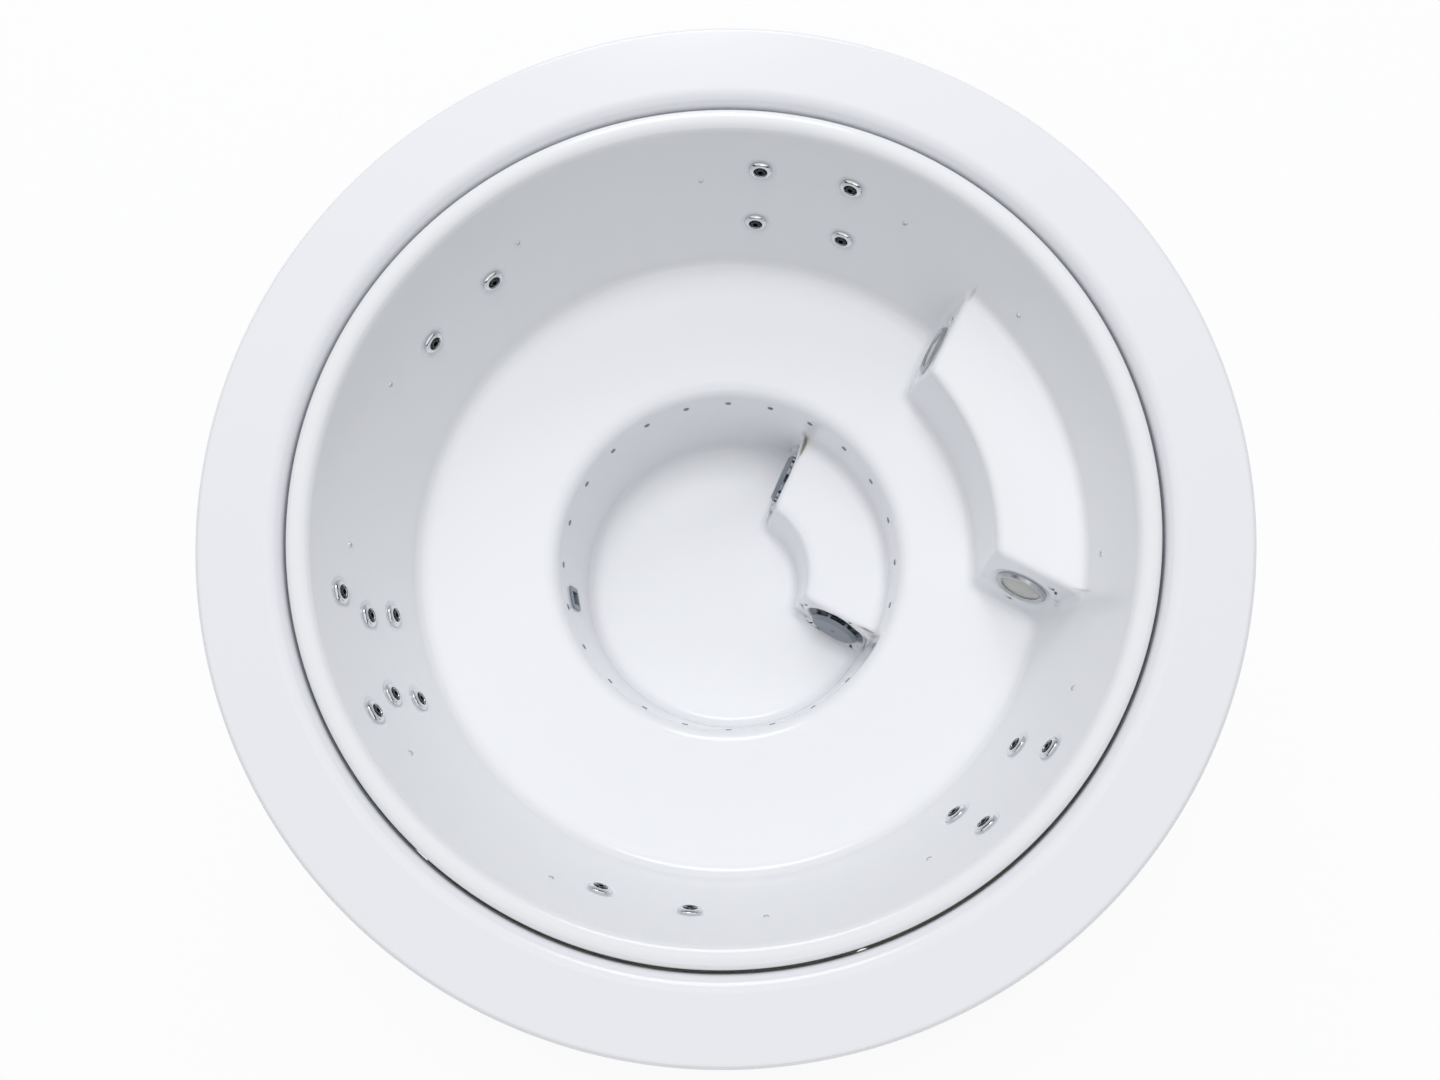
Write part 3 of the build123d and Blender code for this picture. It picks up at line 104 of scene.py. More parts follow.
# Studio: each lamp's size and place, the overhead light's spread and tilt and the camera's turn
# in degrees, and the dark ring round the tub, which only mirror rays see: painted dark reflections in bright metal
FLOOR_HALF = 9.0
FLOOR_WHITENESS = 0.9            # share of plain white where the floor is the background
KEY_LAMP = (2.6, (-0.3, 4.4, 4.4))
FILL_LAMP = (3.0, (0.4, -4.2, 3.8))
LAMP_AIM = (0, 0, 0.7)
OVERHEAD_SPREAD, OVERHEAD_TILT = 24, -12
# size and heights of the dark ring that paints dark reflections in the chrome; nothing else sees it
PAINTED_REFLECTION_RADIUS, PAINTED_REFLECTION_THICKNESS = 4.2, 0.01
PAINTED_REFLECTION_FOOT, PAINTED_REFLECTION_TOP = 1.25, 2.9
CAMERA_PLACE = (0.1414, -0.7240, 4.4796)
CAMERA_TURN = (10.936, 2.299, 0.0)
CAMERA_LENS, CAMERA_SENSOR, CAMERA_SIGHT = 40.0, 36.0, 60.0


def length(name, description, default):
    return FloatProperty(name=name, description=description, default=default, unit="LENGTH", precision=4)


def linear(code):
    """Linear colour of an sRGB hex value."""
    parts = [int(code[k:k + 2], 16) / 255 for k in (0, 2, 4)]
    return tuple(c / 12.92 if c <= 0.04045 else ((c + 0.055) / 1.055) ** 2.4 for c in parts)


def paint(name, description, code):
    return FloatVectorProperty(
        name=name, description=description, default=linear(code), subtype="COLOR", size=3, min=0, max=1
    )


class TubSizes(bpy.types.PropertyGroup):
    rim: length("Rim height", "Rim above the ground", 1.010)
    wall_top: length("Wall radius at the rim", "Where the wall would meet the rim", 0.927)
    wall_foot: length("Wall radius at the seat", "Where the wall would meet the seat", 0.787)
    seat: length("Seat height", "Seat above the ground", 0.487)
    well: length("Footwell radius", "Where the footwell wall would meet the seat", 0.435)
    well_draft: FloatProperty(
        name="Footwell draft", description="Lean of the footwell wall", default=math.radians(5.6),
        unit="ROTATION",
    )
    floor: length("Floor height", "Footwell floor above the ground", 0.090)
    sheet: length("Sheet thickness", "Acrylic with its backing", 0.008)
    lip: length("Rim lip radius", "Wet side of the rim's turned-down lip", 0.976)
    lip_drop: length("Rim lip depth", "Lip's edge below the rim", 0.062)
    rim_round: length("Rim round", "Radius between wall and rim", 0.030)
    seat_round: length("Seat round", "Radius of the seat's and the floor's corners", 0.040)
    foot_round: length("Step foot round", "Radius at the foot of the steps", 0.025)
    corner_round: length("Step corner round", "Radius of the steps' upright corners", 0.026)
    edge_round: length("Step edge round", "Radius of the treads' edges", 0.018)
    lip_round: length("Rim edge round", "Radius where the rim turns down", 0.020)


class TubColours(bpy.types.PropertyGroup):
    acrylic: paint("Basin", "White cast acrylic", "F1F2F5")
    collar: paint("Collar", "White cast acrylic of the collar", "F1F2F6")
    suction: paint("Suctions", "Grey moulded plastic", "7E8690")
    steel: paint("Stand", "Galvanised steel", "9A9FA4")
    lever: paint("Valve lever", "Red moulded plastic", "B3201A")


class StudioSettings(bpy.types.PropertyGroup):
    key: FloatProperty(
        name="Key lamp", description="Lamp above the far side", default=60.0, unit="POWER"
    )
    fill: FloatProperty(
        name="Fill lamp", description="Weak lamp above the near side", default=15.0, unit="POWER"
    )
    overhead: FloatProperty(name="Overhead light", description="Soft light from straight above", default=1.2)
    ambient: FloatProperty(name="Ambient", description="Even light from all round", default=0.42)
    floor: paint("Floor", "Pale studio floor", "F7F8FA")


# Faces of the sheet as fields. Each function takes points, one to a row, and gives their distance
# from a face, positive in the open, and the direction in which it grows.
def level_face(p, height):
    """Distance above a height."""
    return p[:, 2] - height, np.broadcast_to(UP, p.shape)


def leaning_face(p, origin, normal):
    """Distance from a plane along its normal."""
    return (p - origin) @ normal, np.broadcast_to(normal, p.shape)


def cone_face(p, radius, height, lean):
    """Distance inside a cone about Z that has the radius at the height and opens upwards by lean:
    (radius + rise * tan(lean) - r) * cos(lean)."""
    r = np.maximum(np.hypot(p[:, 0], p[:, 1]), TINY)
    away = p[:, :2] / r[:, None]
    d = (radius + (p[:, 2] - height) * math.tan(lean) - r) * math.cos(lean)
    return d, np.column_stack((-away * math.cos(lean), np.full(len(p), math.sin(lean))))


def rounded(a, b, radius, hollow):
    """Two faces joined by a round of the radius: a hollow one keeps the smaller distance and a
    proud one the larger, and between the faces' normals it is the radius less the way to the
    round's axis, found from both distances."""
    (da, na), (db, nb) = a, b
    side = 1.0 if hollow else -1.0
    cosine = (na * nb).sum(1)
    sine2 = np.maximum(1 - cosine ** 2, TINY)
    ra, rb = radius - side * da, radius - side * db
    wa, wb = (ra - rb * cosine) / sine2, (rb - ra * cosine) / sine2
    way = wa[:, None] * na + wb[:, None] * nb
    reach = np.linalg.norm(way, axis=1)
    in_round = (wa > 0) & (wb > 0)
    nearer = side * da <= side * db
    d = np.where(in_round, side * (radius - reach), np.where(nearer, da, db))
    faces = np.where(nearer[:, None], na, nb)
    return d, np.where(in_round[:, None], way / np.maximum(reach, TINY)[:, None], faces)


def step_end(step, side):
    """Origin and normal of a step's end plane: through the tread's corner, square to its direction
    and leaning up by its draft."""
    out = math.radians(STEP_AXIS + side * (step.turn + 90))
    at = math.radians(STEP_AXIS + side * step.corner)
    lean = math.radians(step.end_draft)
    normal = np.array((math.cos(lean) * math.cos(out), math.cos(lean) * math.sin(out), math.sin(lean)))
    return np.array((step.radius * math.cos(at), step.radius * math.sin(at), step.top)), normal


def on_end(step, along, drop):
    """Centre and axis of a fitting in each end: along the tread's edge from its corner, then
    straight down the end's slope."""
    places = []
    for side in (1, -1):
        origin, normal = step_end(step, side)
        edge = np.cross(normal, UP)
        edge *= np.sign(edge @ origin) / np.linalg.norm(edge)
        down = (normal * normal[2] - UP) / (1 - normal[2] ** 2)
        places.append((origin + edge * along + down * drop, normal))
    return places


def step_face(p, step, sizes):
    """Outside of a step: its face's cone, its two end planes and its tread, joined by proud rounds."""
    side = cone_face(p, step.radius, step.top, math.radians(step.draft))
    for way in (1, -1):
        side = rounded(side, leaning_face(p, *step_end(step, way)), sizes.corner_round, False)
    return rounded(side, level_face(p, step.top), sizes.edge_round, False)


def wall_lean(sizes):
    return math.atan((sizes.wall_top - sizes.wall_foot) / (sizes.rim - sizes.seat))


def tub_face(p, sizes, cut=None):
    """Wet face of the basin: footwell and its step, seat, wall and its step, rim and lip, joined
    in turn by hollow and proud rounds, then cut for one fitting."""
    face = cone_face(p, sizes.well, sizes.seat, sizes.well_draft)
    face = rounded(face, level_face(p, sizes.floor), sizes.seat_round, True)
    face = rounded(face, step_face(p, LOWER_STEP, sizes), sizes.foot_round, True)
    face = rounded(face, level_face(p, sizes.seat), sizes.seat_round, False)
    face = rounded(face, cone_face(p, sizes.wall_top, sizes.rim, wall_lean(sizes)), sizes.seat_round, True)
    face = rounded(face, step_face(p, UPPER_STEP, sizes), sizes.foot_round, True)
    face = rounded(face, level_face(p, sizes.rim), sizes.rim_round, False)
    r = np.maximum(np.hypot(p[:, 0], p[:, 1]), TINY)
    outside = r - sizes.lip, np.column_stack((p[:, :2] / r[:, None], np.zeros(len(p))))
    face = rounded(face, outside, sizes.lip_round, False)
    return cut(p, face) if cut else face


def dish(centre, axis, flat, edge, depth):
    """Cut for a shallow dish: the face goes back by the depth inside the flat radius and comes
    forward to the edge radius along a smooth step, 3 s^2 - 2 s^3."""
    def cut(p, face):
        d, n = face
        rel = p - centre
        across = rel - (rel @ axis)[:, None] * axis
        off = np.maximum(np.linalg.norm(across, axis=1), TINY)
        s = np.clip((edge - off) / (edge - flat), 0, 1)
        slope = depth * 6 * s * (1 - s) / (edge - flat)
        n = n - slope[:, None] * across / off[:, None]
        return d + depth * s * s * (3 - 2 * s), n / np.linalg.norm(n, axis=1)[:, None]
    return cut


def recess(centre, axis, radius, depth, foot, edge):
    """Cut for a round recess: inside its cylinder and above its floor, with a hollow round at the
    foot, joined to the face by a proud round."""
    def cut(p, face):
        rel = p - centre
        height = rel @ axis
        across = rel - height[:, None] * axis
        off = np.maximum(np.linalg.norm(across, axis=1), TINY)
        wall = radius - off, -across / off[:, None]
        floor = height + depth, np.broadcast_to(axis, p.shape)
        return rounded(face, rounded(wall, floor, foot, True), edge, False)
    return cut


def settle(p, sizes, cut=None):
    """Points moved onto the wet face along its normals, and the normals there."""
    for _ in range(SETTLE_ROUNDS):
        d, n = tub_face(p, sizes, cut)
        p = p - d[:, None] * n
    return p, tub_face(p, sizes, cut)[1]


def eased(count):
    """Shares from 0 to 1, closer together at both ends: (1 - cos) / 2."""
    return 0.5 - 0.5 * np.cos(np.pi * np.arange(count + 1) / count)


def smooth_step(share):
    s = np.clip(share, 0, 1)
    return s * s * (3 - 2 * s)


def step_radius(turns, z, step):
    """Radius at which a level line from the axis enters a step, for each height and direction: the
    largest of the face's radius and the two end planes' crossings."""
    radius = step.radius + (z[:, None] - step.top) * math.tan(math.radians(step.draft)) + 0 * turns[None, :]
    for side in (1, -1):
        origin, normal = step_end(step, side)
        a = normal[0] * np.cos(turns) + normal[1] * np.sin(turns)
        b = (z - step.top) * normal[2] - origin[:2] @ normal[:2]
        entry = np.where(a < -GRAZING, b[:, None] / np.maximum(-a, GRAZING)[None, :], FAR_OFF)
        radius = np.maximum(radius, entry)
    return radius


def column_turns(sizes):
    """Directions of the sheet's columns: an even fan, with closer columns round the steps' corners
    and where their ends run out to the wall. A step's bend is the half width of its corner's
    columns, and its count that of the columns along each end."""
    turns = [np.arange(0, 360, FAN_STEP)]
    tread_wall = sizes.wall_top - (sizes.rim - UPPER_STEP.top) * math.tan(wall_lean(sizes))
    tread_well = sizes.well - (sizes.seat - LOWER_STEP.top) * math.tan(sizes.well_draft)
    for step, wall, bend, count in ((UPPER_STEP, tread_wall, 2.4, 18), (LOWER_STEP, tread_well, 6.0, 17)):
        inner = step.radius * math.sin(math.radians(step.turn - step.corner))
        reach = np.linspace(step.radius, wall + 0.03, count)
        end = step.turn - np.degrees(np.arcsin(inner / reach))
        corner = step.corner + np.linspace(-bend, bend, 11)
        beyond = end[-1] + np.linspace(0.6, 3.0, 5)
        for side in (1, -1):
            turns += [STEP_AXIS + side * end, STEP_AXIS + side * corner, STEP_AXIS + side * beyond]
    ordered = np.sort(np.concatenate(turns) % 360)
    return np.radians(ordered[np.diff(ordered, append=ordered[0] + 360) > FAN_LEAST])


def riser(turns, low, high, step, wall, counts):
    """Rows from one level up to the next. With the step they climb its face, cross the tread and
    climb the wall, with a count of rows for each; without it they climb the wall; where the tread
    is narrow they blend."""
    up, over, on = counts
    z_up = low + (step.top - low) * eased(up)
    r_up = np.minimum(wall(z_up)[:, None], step_radius(turns, z_up, step))
    edge = wall(np.array([step.top]))[0]
    r_over = r_up[-1] + (edge - r_up[-1]) * eased(over)[1:, None]
    z_on = step.top + (high - step.top) * eased(on)[1:]
    r_on = wall(z_on)[:, None] + 0 * turns[None, :]
    stepped_r = np.vstack((r_up, r_over, r_on))
    stepped_z = np.concatenate((z_up, np.full(over, step.top), z_on))[:, None]
    count = up + over + on
    share = PLAIN_EVENNESS * np.arange(count + 1) / count + (1 - PLAIN_EVENNESS) * eased(count)
    plain_z = low + (high - low) * share
    plain_r = wall(plain_z)[:, None] + 0 * turns[None, :]
    below = np.minimum(plain_r, step_radius(turns, plain_z, step))
    plain_r = np.where((plain_z < step.top)[:, None], below, plain_r)
    wide = smooth_step((edge - r_up[-1]) / TREAD_BLEND)[None, :]
    z = plain_z[:, None] + (stepped_z - plain_z[:, None]) * wide
    return plain_r + (stepped_r - plain_r) * wide, z


def basin_rows(turns, sizes):
    """Radius and height of each row of the sheet: floor, footwell, seat, wall, rim and lip."""
    slope, draft = math.tan(wall_lean(sizes)), math.tan(sizes.well_draft)
    low_r, low_z = riser(
        turns, sizes.floor, sizes.seat, LOWER_STEP,
        lambda z: sizes.well - (sizes.seat - z) * draft, (20, 8, 12),
    )
    high_r, high_z = riser(
        turns, sizes.seat, sizes.rim, UPPER_STEP,
        lambda z: sizes.wall_top - (sizes.rim - z) * slope, (24, 10, 18),
    )
    floor = np.sin(np.pi / 2 * np.arange(1, 12) / 12)[:, None]
    seat = eased(14)[1:-1, None]
    rim = eased(8)[1:, None]
    drop = 1 - np.cos(np.pi / 2 * np.arange(1, 8) / 7)[:, None]
    flat = np.ones((1, len(turns)))
    r = np.vstack((
        low_r[0] * floor, low_r, low_r[-1] + (high_r[0] - low_r[-1]) * seat, high_r,
        (sizes.wall_top + (sizes.lip - sizes.wall_top) * rim) * flat, np.full((7, 1), sizes.lip) * flat,
    ))
    z = np.vstack((
        np.full((11, 1), sizes.floor) * flat, low_z, np.full((13, 1), sizes.seat) * flat, high_z,
        np.full((8, 1), sizes.rim) * flat, (sizes.rim - sizes.lip_drop * drop) * flat,
    ))
    return r, z


class Sheet:
    """Points of the wet face with their normals, its four-sided faces and the fan at its middle."""

    def __init__(self, sizes):
        turns = column_turns(sizes)
        r, z = basin_rows(turns, sizes)
        rows, columns = r.shape
        grid = np.stack((r * np.cos(turns), r * np.sin(turns), z), axis=2).reshape(-1, 3)
        grid, normals = settle(grid, sizes)
        self.sizes = sizes
        self.points = np.vstack(((0, 0, sizes.floor), grid))
        self.normals = np.vstack((UP, normals))
        k, m = np.meshgrid(np.arange(rows - 1), np.arange(columns), indexing="ij")
        after = (m + 1) % columns
        quads = np.stack(
            (k * columns + m, (k + 1) * columns + m, (k + 1) * columns + after, k * columns + after), axis=2
        )
        self.quads = quads.reshape(-1, 4) + 1
        first = np.arange(columns)
        self.fan = np.column_stack((np.zeros(columns, int), 1 + first, 1 + (first + 1) % columns))

    def fit(self, centre, axis, reach, rings, cut=None, power=2.0, narrow=1.0):
        """Opens the sheet round a fitting. Faces with a corner nearer than the reach go, and rings of
        the given radii and heights, each |x|^power + |y|^power = radius^power with x made narrower,
        run from the gap's edge to the hole."""
        across = np.cross(UP, axis)
        across /= np.linalg.norm(across)
        up = np.cross(axis, across)
        rel = self.points - centre
        off = np.hypot(rel @ across * narrow, rel @ up)
        near = (off < reach) & (abs(rel @ axis) < NEAR_FACE * reach)
        gone = near[self.quads].any(axis=1)
        edge = np.intersect1d(self.quads[gone], self.quads[~gone])
        rel = self.points[edge] - centre
        angle = np.arctan2(rel @ up, rel @ across * narrow)
        edge, angle = edge[np.argsort(angle)], np.sort(angle)
        even = angle[0] + 2 * np.pi * np.arange(len(edge)) / len(edge)
        strips = [self.quads[~gone]]
        for k, (radius, height) in enumerate(rings):
            turn = angle + (even - angle) * min((k + 1) / RINGS_TO_EVEN, 1)
            x, y = np.cos(turn), np.sin(turn)
            size = radius / (abs(x) ** power + abs(y) ** power) ** (1 / power)
            ring = centre + axis * height + np.outer(x * size / narrow, across) + np.outer(y * size, up)
            ring, normals = settle(ring, self.sizes, cut)
            fresh = len(self.points) + np.arange(len(edge))
            self.points = np.vstack((self.points, ring))
            self.normals = np.vstack((self.normals, normals))
            strips.append(np.column_stack((edge, np.roll(edge, -1), np.roll(fresh, -1), fresh)))
            edge = fresh
        self.quads = np.vstack(strips)


def new_object(name, points, faces, normals, materials, face_material=None):
    """Mesh object at the origin with its points in place, smooth, shaded by the given normals."""
    mesh = bpy.data.meshes.new(name)
    mesh.from_pydata(points.tolist(), [], faces)
    mesh.polygons.foreach_set("use_smooth", np.ones(len(faces), bool))
    for material in materials:
        mesh.materials.append(material)
    if face_material is not None:
        mesh.polygons.foreach_set("material_index", face_material)
    mesh.normals_split_custom_set_from_vertices(normals.tolist())
    mesh.update()
    obj = bpy.data.objects.new(name, mesh)
    bpy.context.scene.collection.objects.link(obj)
    return obj


def thicken(sheet, depth):
    """Closed shell: the wet face, the same face set back along its normals and turned over, and a
    wall along each free edge."""
    used, index = np.unique(np.concatenate((sheet.fan.ravel(), sheet.quads.ravel())), return_inverse=True)
    fan = index[:sheet.fan.size].reshape(-1, 3)
    quads = index[sheet.fan.size:].reshape(-1, 4)
    front, normals = sheet.points[used], sheet.normals[used]
    count = len(used)
    runs = np.vstack([
        np.column_stack((f[:, k], np.roll(f, -1, axis=1)[:, k]))
        for f in (fan, quads) for k in range(f.shape[1])
    ])
    there, back = runs[:, 0] * count + runs[:, 1], runs[:, 1] * count + runs[:, 0]
    free = runs[~np.isin(back, there)]
    walls = np.column_stack((free[:, 1], free[:, 0], free[:, 0] + count, free[:, 1] + count))
    faces = fan.tolist() + quads.tolist()
    wet = len(faces)
    faces += (fan[:, ::-1] + count).tolist() + (quads[:, ::-1] + count).tolist() + walls.tolist()
    points = np.vstack((front, front - normals * depth))
    which = (np.arange(len(faces)) >= wet).astype(np.int32)
    return points, faces, np.vstack((normals, -normals)), which


def rounded_outline(corners, radii, arc_steps):
    """Closed outline in radius and height, run with the solid on its left. Each corner becomes an
    arc about corner + bisector * radius / cos(half turn), and its normals turn with it."""
    corners = np.array(corners)
    ahead = np.roll(corners, -1, axis=0) - corners
    ahead /= np.linalg.norm(ahead, axis=1)[:, None]
    behind = np.roll(ahead, 1, axis=0)
    turn = np.arctan2(behind[:, 0] * ahead[:, 1] - behind[:, 1] * ahead[:, 0], (behind * ahead).sum(1))
    bisector = (ahead - behind) / np.linalg.norm(ahead - behind, axis=1)[:, None]
    centres = corners + bisector * (np.array(radii) / np.cos(turn / 2))[:, None]
    start = np.arctan2(-behind[:, 0], behind[:, 1])
    points, normals = [], []
    for centre, radius, first, angle, steps in zip(centres, radii, start, turn, arc_steps):
        alpha = first + angle * np.linspace(0, 1, steps + 1)
        normal = np.column_stack((np.cos(alpha), np.sin(alpha)))
        points.append(centre + math.copysign(radius, angle) * normal)
        normals.append(normal)
    return np.vstack(points), np.vstack(normals)


def turned(outline, normals, count, centre=np.zeros(3), axis=UP, across=np.array((1.0, 0.0, 0.0))):
    """Closed outline carried round an axis: centre + r cos(t) across + r sin(t) up + h axis."""
    up = np.cross(axis, across)
    t = 2 * np.pi * np.arange(count) / count
    spoke = np.outer(np.cos(t), across) + np.outer(np.sin(t), up)
    points = centre + outline[:, None, :1] * spoke[None] + outline[:, None, 1:] * axis
    directions = normals[:, None, :1] * spoke[None] + normals[:, None, 1:] * axis
    rows = len(outline)
    k, m = np.meshgrid(np.arange(rows), np.arange(count), indexing="ij")
    k2, m2 = (k + 1) % rows, (m + 1) % count
    quads = np.stack((k * count + m, k * count + m2, k2 * count + m2, k2 * count + m), axis=2)
    return points.reshape(-1, 3), quads.reshape(-1, 4), directions.reshape(-1, 3)


def jet_places():
    """Face centre and inward normal of each jet, from its hinge's place behind the wall."""
    sizes = bpy.context.scene.tub_sizes
    lean = wall_lean(sizes)
    places = []
    for joint in frame["joints"]:
        if joint["name"].startswith("jet_"):
            pivot = np.array(joint["pos_m"])
            away = pivot * (1, 1, 0) / np.hypot(pivot[0], pivot[1])
            into = UP * math.sin(lean) - away * math.cos(lean)
            places.append((pivot + into * JET_PIVOT_BACK, into))
    return places


def inlet_place(sizes):
    """Face centre and inward normal of the return inlet, on the footwell's wall."""
    turn = math.radians(INLET_TURN)
    away = np.array((math.cos(turn), math.sin(turn), 0.0))
    radius = sizes.well - (INLET_DEPTH - (sizes.rim - sizes.seat)) * math.tan(sizes.well_draft)
    axis = UP * math.sin(sizes.well_draft) - away * math.cos(sizes.well_draft)
    return away * radius + UP * (sizes.rim - INLET_DEPTH), axis


def level(radii):
    """Rings that lie on the face, at no height above it."""
    return [(radius, 0.0) for radius in radii]


# Finishes
def add_node(tree, kind, settings, inputs):
    """Adds a node, sets its settings, and sets or links each named input."""
    node = tree.nodes.new(kind)
    for key, value in settings.items():
        setattr(node, key, value)
    for key, value in inputs.items():
        if isinstance(value, bpy.types.NodeSocket):
            tree.links.new(value, node.inputs[key])
        else:
            node.inputs[key].default_value = value
    return node


def new_finish(name, colour, roughness, values):
    """Material with its shader set, and its node tree, shader and object coordinates."""
    material = bpy.data.materials.new(name)
    material.use_nodes = True
    tree = material.node_tree
    tree.nodes.clear()
    place = add_node(tree, "ShaderNodeTexCoord", {}, {}).outputs["Object"]
    inputs = {"Base Color": (*colour, 1.0), "Roughness": roughness, **values}
    shader = add_node(tree, "ShaderNodeBsdfPrincipled", {}, inputs)
    add_node(tree, "ShaderNodeOutputMaterial", {}, {"Surface": shader.outputs["BSDF"]})
    return material, tree, shader, place


def relief(tree, shader, height, distance):
    """Fine relief of the surface from a pattern's height, in metres."""
    bump = add_node(tree, "ShaderNodeBump", {}, {"Height": height, "Distance": distance, "Strength": 1.0})
    tree.links.new(bump.outputs["Normal"], shader.inputs["Normal"])


def spread(tree, shader, socket, value, low, high):
    """A shader value that wanders between two limits with a pattern."""
    limits = add_node(tree, "ShaderNodeMapRange", {}, {"Value": value, "To Min": low, "To Max": high})
    tree.links.new(limits.outputs["Result"], shader.inputs[socket])


def cast_acrylic(name, colour):
    """Cast acrylic sheet, vacuum formed and polished: a clear gloss over white with the forming's
    slow waves, a hand wide, and a hardly seen change of gloss where it was buffed."""
    material, tree, shader, place = new_finish(name, colour, 0.13, {"IOR": 1.49})
    waves = add_node(tree, "ShaderNodeTexNoise", {}, {"Vector": place, "Scale": 9.0, "Detail": 1.0})
    relief(tree, shader, waves.outputs["Fac"], 0.0004)
    buffed = add_node(tree, "ShaderNodeTexNoise", {}, {"Vector": place, "Scale": 3.0, "Detail": 2.0})
    spread(tree, shader, "Roughness", buffed.outputs["Fac"], 0.10, 0.17)
    return material


def glass_fibre_laminate():
    """Hand-laid glass-fibre laminate: a dull cream back with chopped strands about 50 mm long."""
    material, tree, shader, place = new_finish("glass_fibre_laminate", linear("C9C5B4"), 0.55, {"IOR": 1.55})
    strands = add_node(
        tree, "ShaderNodeTexNoise", {}, {"Vector": place, "Scale": 60.0, "Detail": 5.0, "Distortion": 2.5}
    )
    tones = add_node(
        tree, "ShaderNodeMix", {"data_type": "RGBA"},
        {"Factor": strands.outputs["Fac"], 6: (*linear("B4AF9B"), 1), 7: (*linear("DAD7C9"), 1)},
    )
    tree.links.new(tones.outputs[2], shader.inputs["Base Color"])
    relief(tree, shader, strands.outputs["Fac"], 0.0012)
    return material


def chromed_plastic():
    """Bright chrome plate on moulded plastic: a mirror with the mould's faint polish haze."""
    material, tree, shader, place = new_finish("chromed_plastic", linear("DADDE0"), 0.07, {"Metallic": 1.0})
    haze = add_node(tree, "ShaderNodeTexNoise", {}, {"Vector": place, "Scale": 180.0, "Detail": 2.0})
    spread(tree, shader, "Roughness", haze.outputs["Fac"], 0.05, 0.10)
    return material


def moulded_plastic(name, colour, low, high, grain, depth):
    """Injection-moulded plastic: an even colour with the tool's fine spark grain."""
    material, tree, shader, place = new_finish(name, colour, (low + high) / 2, {"IOR": 1.52})
    spark = add_node(tree, "ShaderNodeTexNoise", {}, {"Vector": place, "Scale": grain, "Detail": 3.0})
    relief(tree, shader, spark.outputs["Fac"], depth)
    spread(tree, shader, "Roughness", spark.outputs["Fac"], low, high)
    return material


def black_rubber():
    """Extruded rubber: nearly black, dull, with a fine bloom."""
    material, tree, shader, place = new_finish("black_rubber", linear("1C1D1E"), 0.65, {"IOR": 1.52})
    bloom = add_node(tree, "ShaderNodeTexNoise", {}, {"Vector": place, "Scale": 140.0, "Detail": 3.0})
    tones = add_node(
        tree, "ShaderNodeMix", {"data_type": "RGBA"},
        {"Factor": bloom.outputs["Fac"], 6: (*linear("141516"), 1), 7: (*linear("2B2C2E"), 1)},
    )
    tree.links.new(tones.outputs[2], shader.inputs["Base Color"])
    return material


def clear_polycarbonate():
    """Moulded clear lens: glassy, with soft prisms about 3 mm wide on its face."""
    material, tree, shader, place = new_finish(
        "clear_polycarbonate", linear("F6F4EE"), 0.12, {"IOR": 1.58, "Transmission Weight": 0.55}
    )
    prisms = add_node(tree, "ShaderNodeTexVoronoi", {}, {"Vector": place, "Scale": 320.0})
    relief(tree, shader, prisms.outputs["Distance"], 0.0004)
    return material


def stainless_steel():
    """Turned stainless steel: grey metal with fine round tool marks."""
    material, tree, shader, place = new_finish("stainless_steel", linear("B9BCBF"), 0.25, {"Metallic": 1.0})
    marks = add_node(tree, "ShaderNodeTexNoise", {}, {"Vector": place, "Scale": 260.0, "Detail": 2.0})
    spread(tree, shader, "Roughness", marks.outputs["Fac"], 0.18, 0.32)
    return material


def galvanised_steel(colour):
    """Hot-dip galvanised tube: dull zinc with crystals about 12 mm across in several greys."""
    material, tree, shader, place = new_finish("galvanised_steel", colour, 0.45, {"Metallic": 0.9})
    crystals = add_node(tree, "ShaderNodeTexVoronoi", {}, {"Vector": place, "Scale": 85.0})
    grey = add_node(tree, "ShaderNodeSeparateColor", {}, {"Color": crystals.outputs["Color"]}).outputs["Red"]
    tones = add_node(
        tree, "ShaderNodeMix", {"data_type": "RGBA"},
        {"Factor": grey, 6: (*[c * 0.75 for c in colour], 1), 7: (*[min(c * 1.3, 1) for c in colour], 1)},
    )
    tree.links.new(tones.outputs[2], shader.inputs["Base Color"])
    spread(tree, shader, "Roughness", grey, 0.35, 0.55)
    return material


def birch_plywood():
    """Sealed birch plywood: pale brown with long grain bands about 8 mm apart."""
    material, tree, shader, place = new_finish("birch_plywood", linear("B08D5E"), 0.5, {"IOR": 1.5})
    lie = add_node(tree, "ShaderNodeMapping", {}, {"Vector": place, "Scale": (1.5, 22.0, 22.0)})
    grain = add_node(
        tree, "ShaderNodeTexNoise", {},
        {"Vector": lie.outputs["Vector"], "Scale": 6.0, "Detail": 5.0, "Distortion": 0.8},
    )
    tones = add_node(
        tree, "ShaderNodeMix", {"data_type": "RGBA"},
        {"Factor": grain.outputs["Fac"], 6: (*linear("96714A"), 1), 7: (*linear("C9A878"), 1)},
    )
    tree.links.new(tones.outputs[2], shader.inputs["Base Color"])
    relief(tree, shader, grain.outputs["Fac"], 0.0004)
    return material


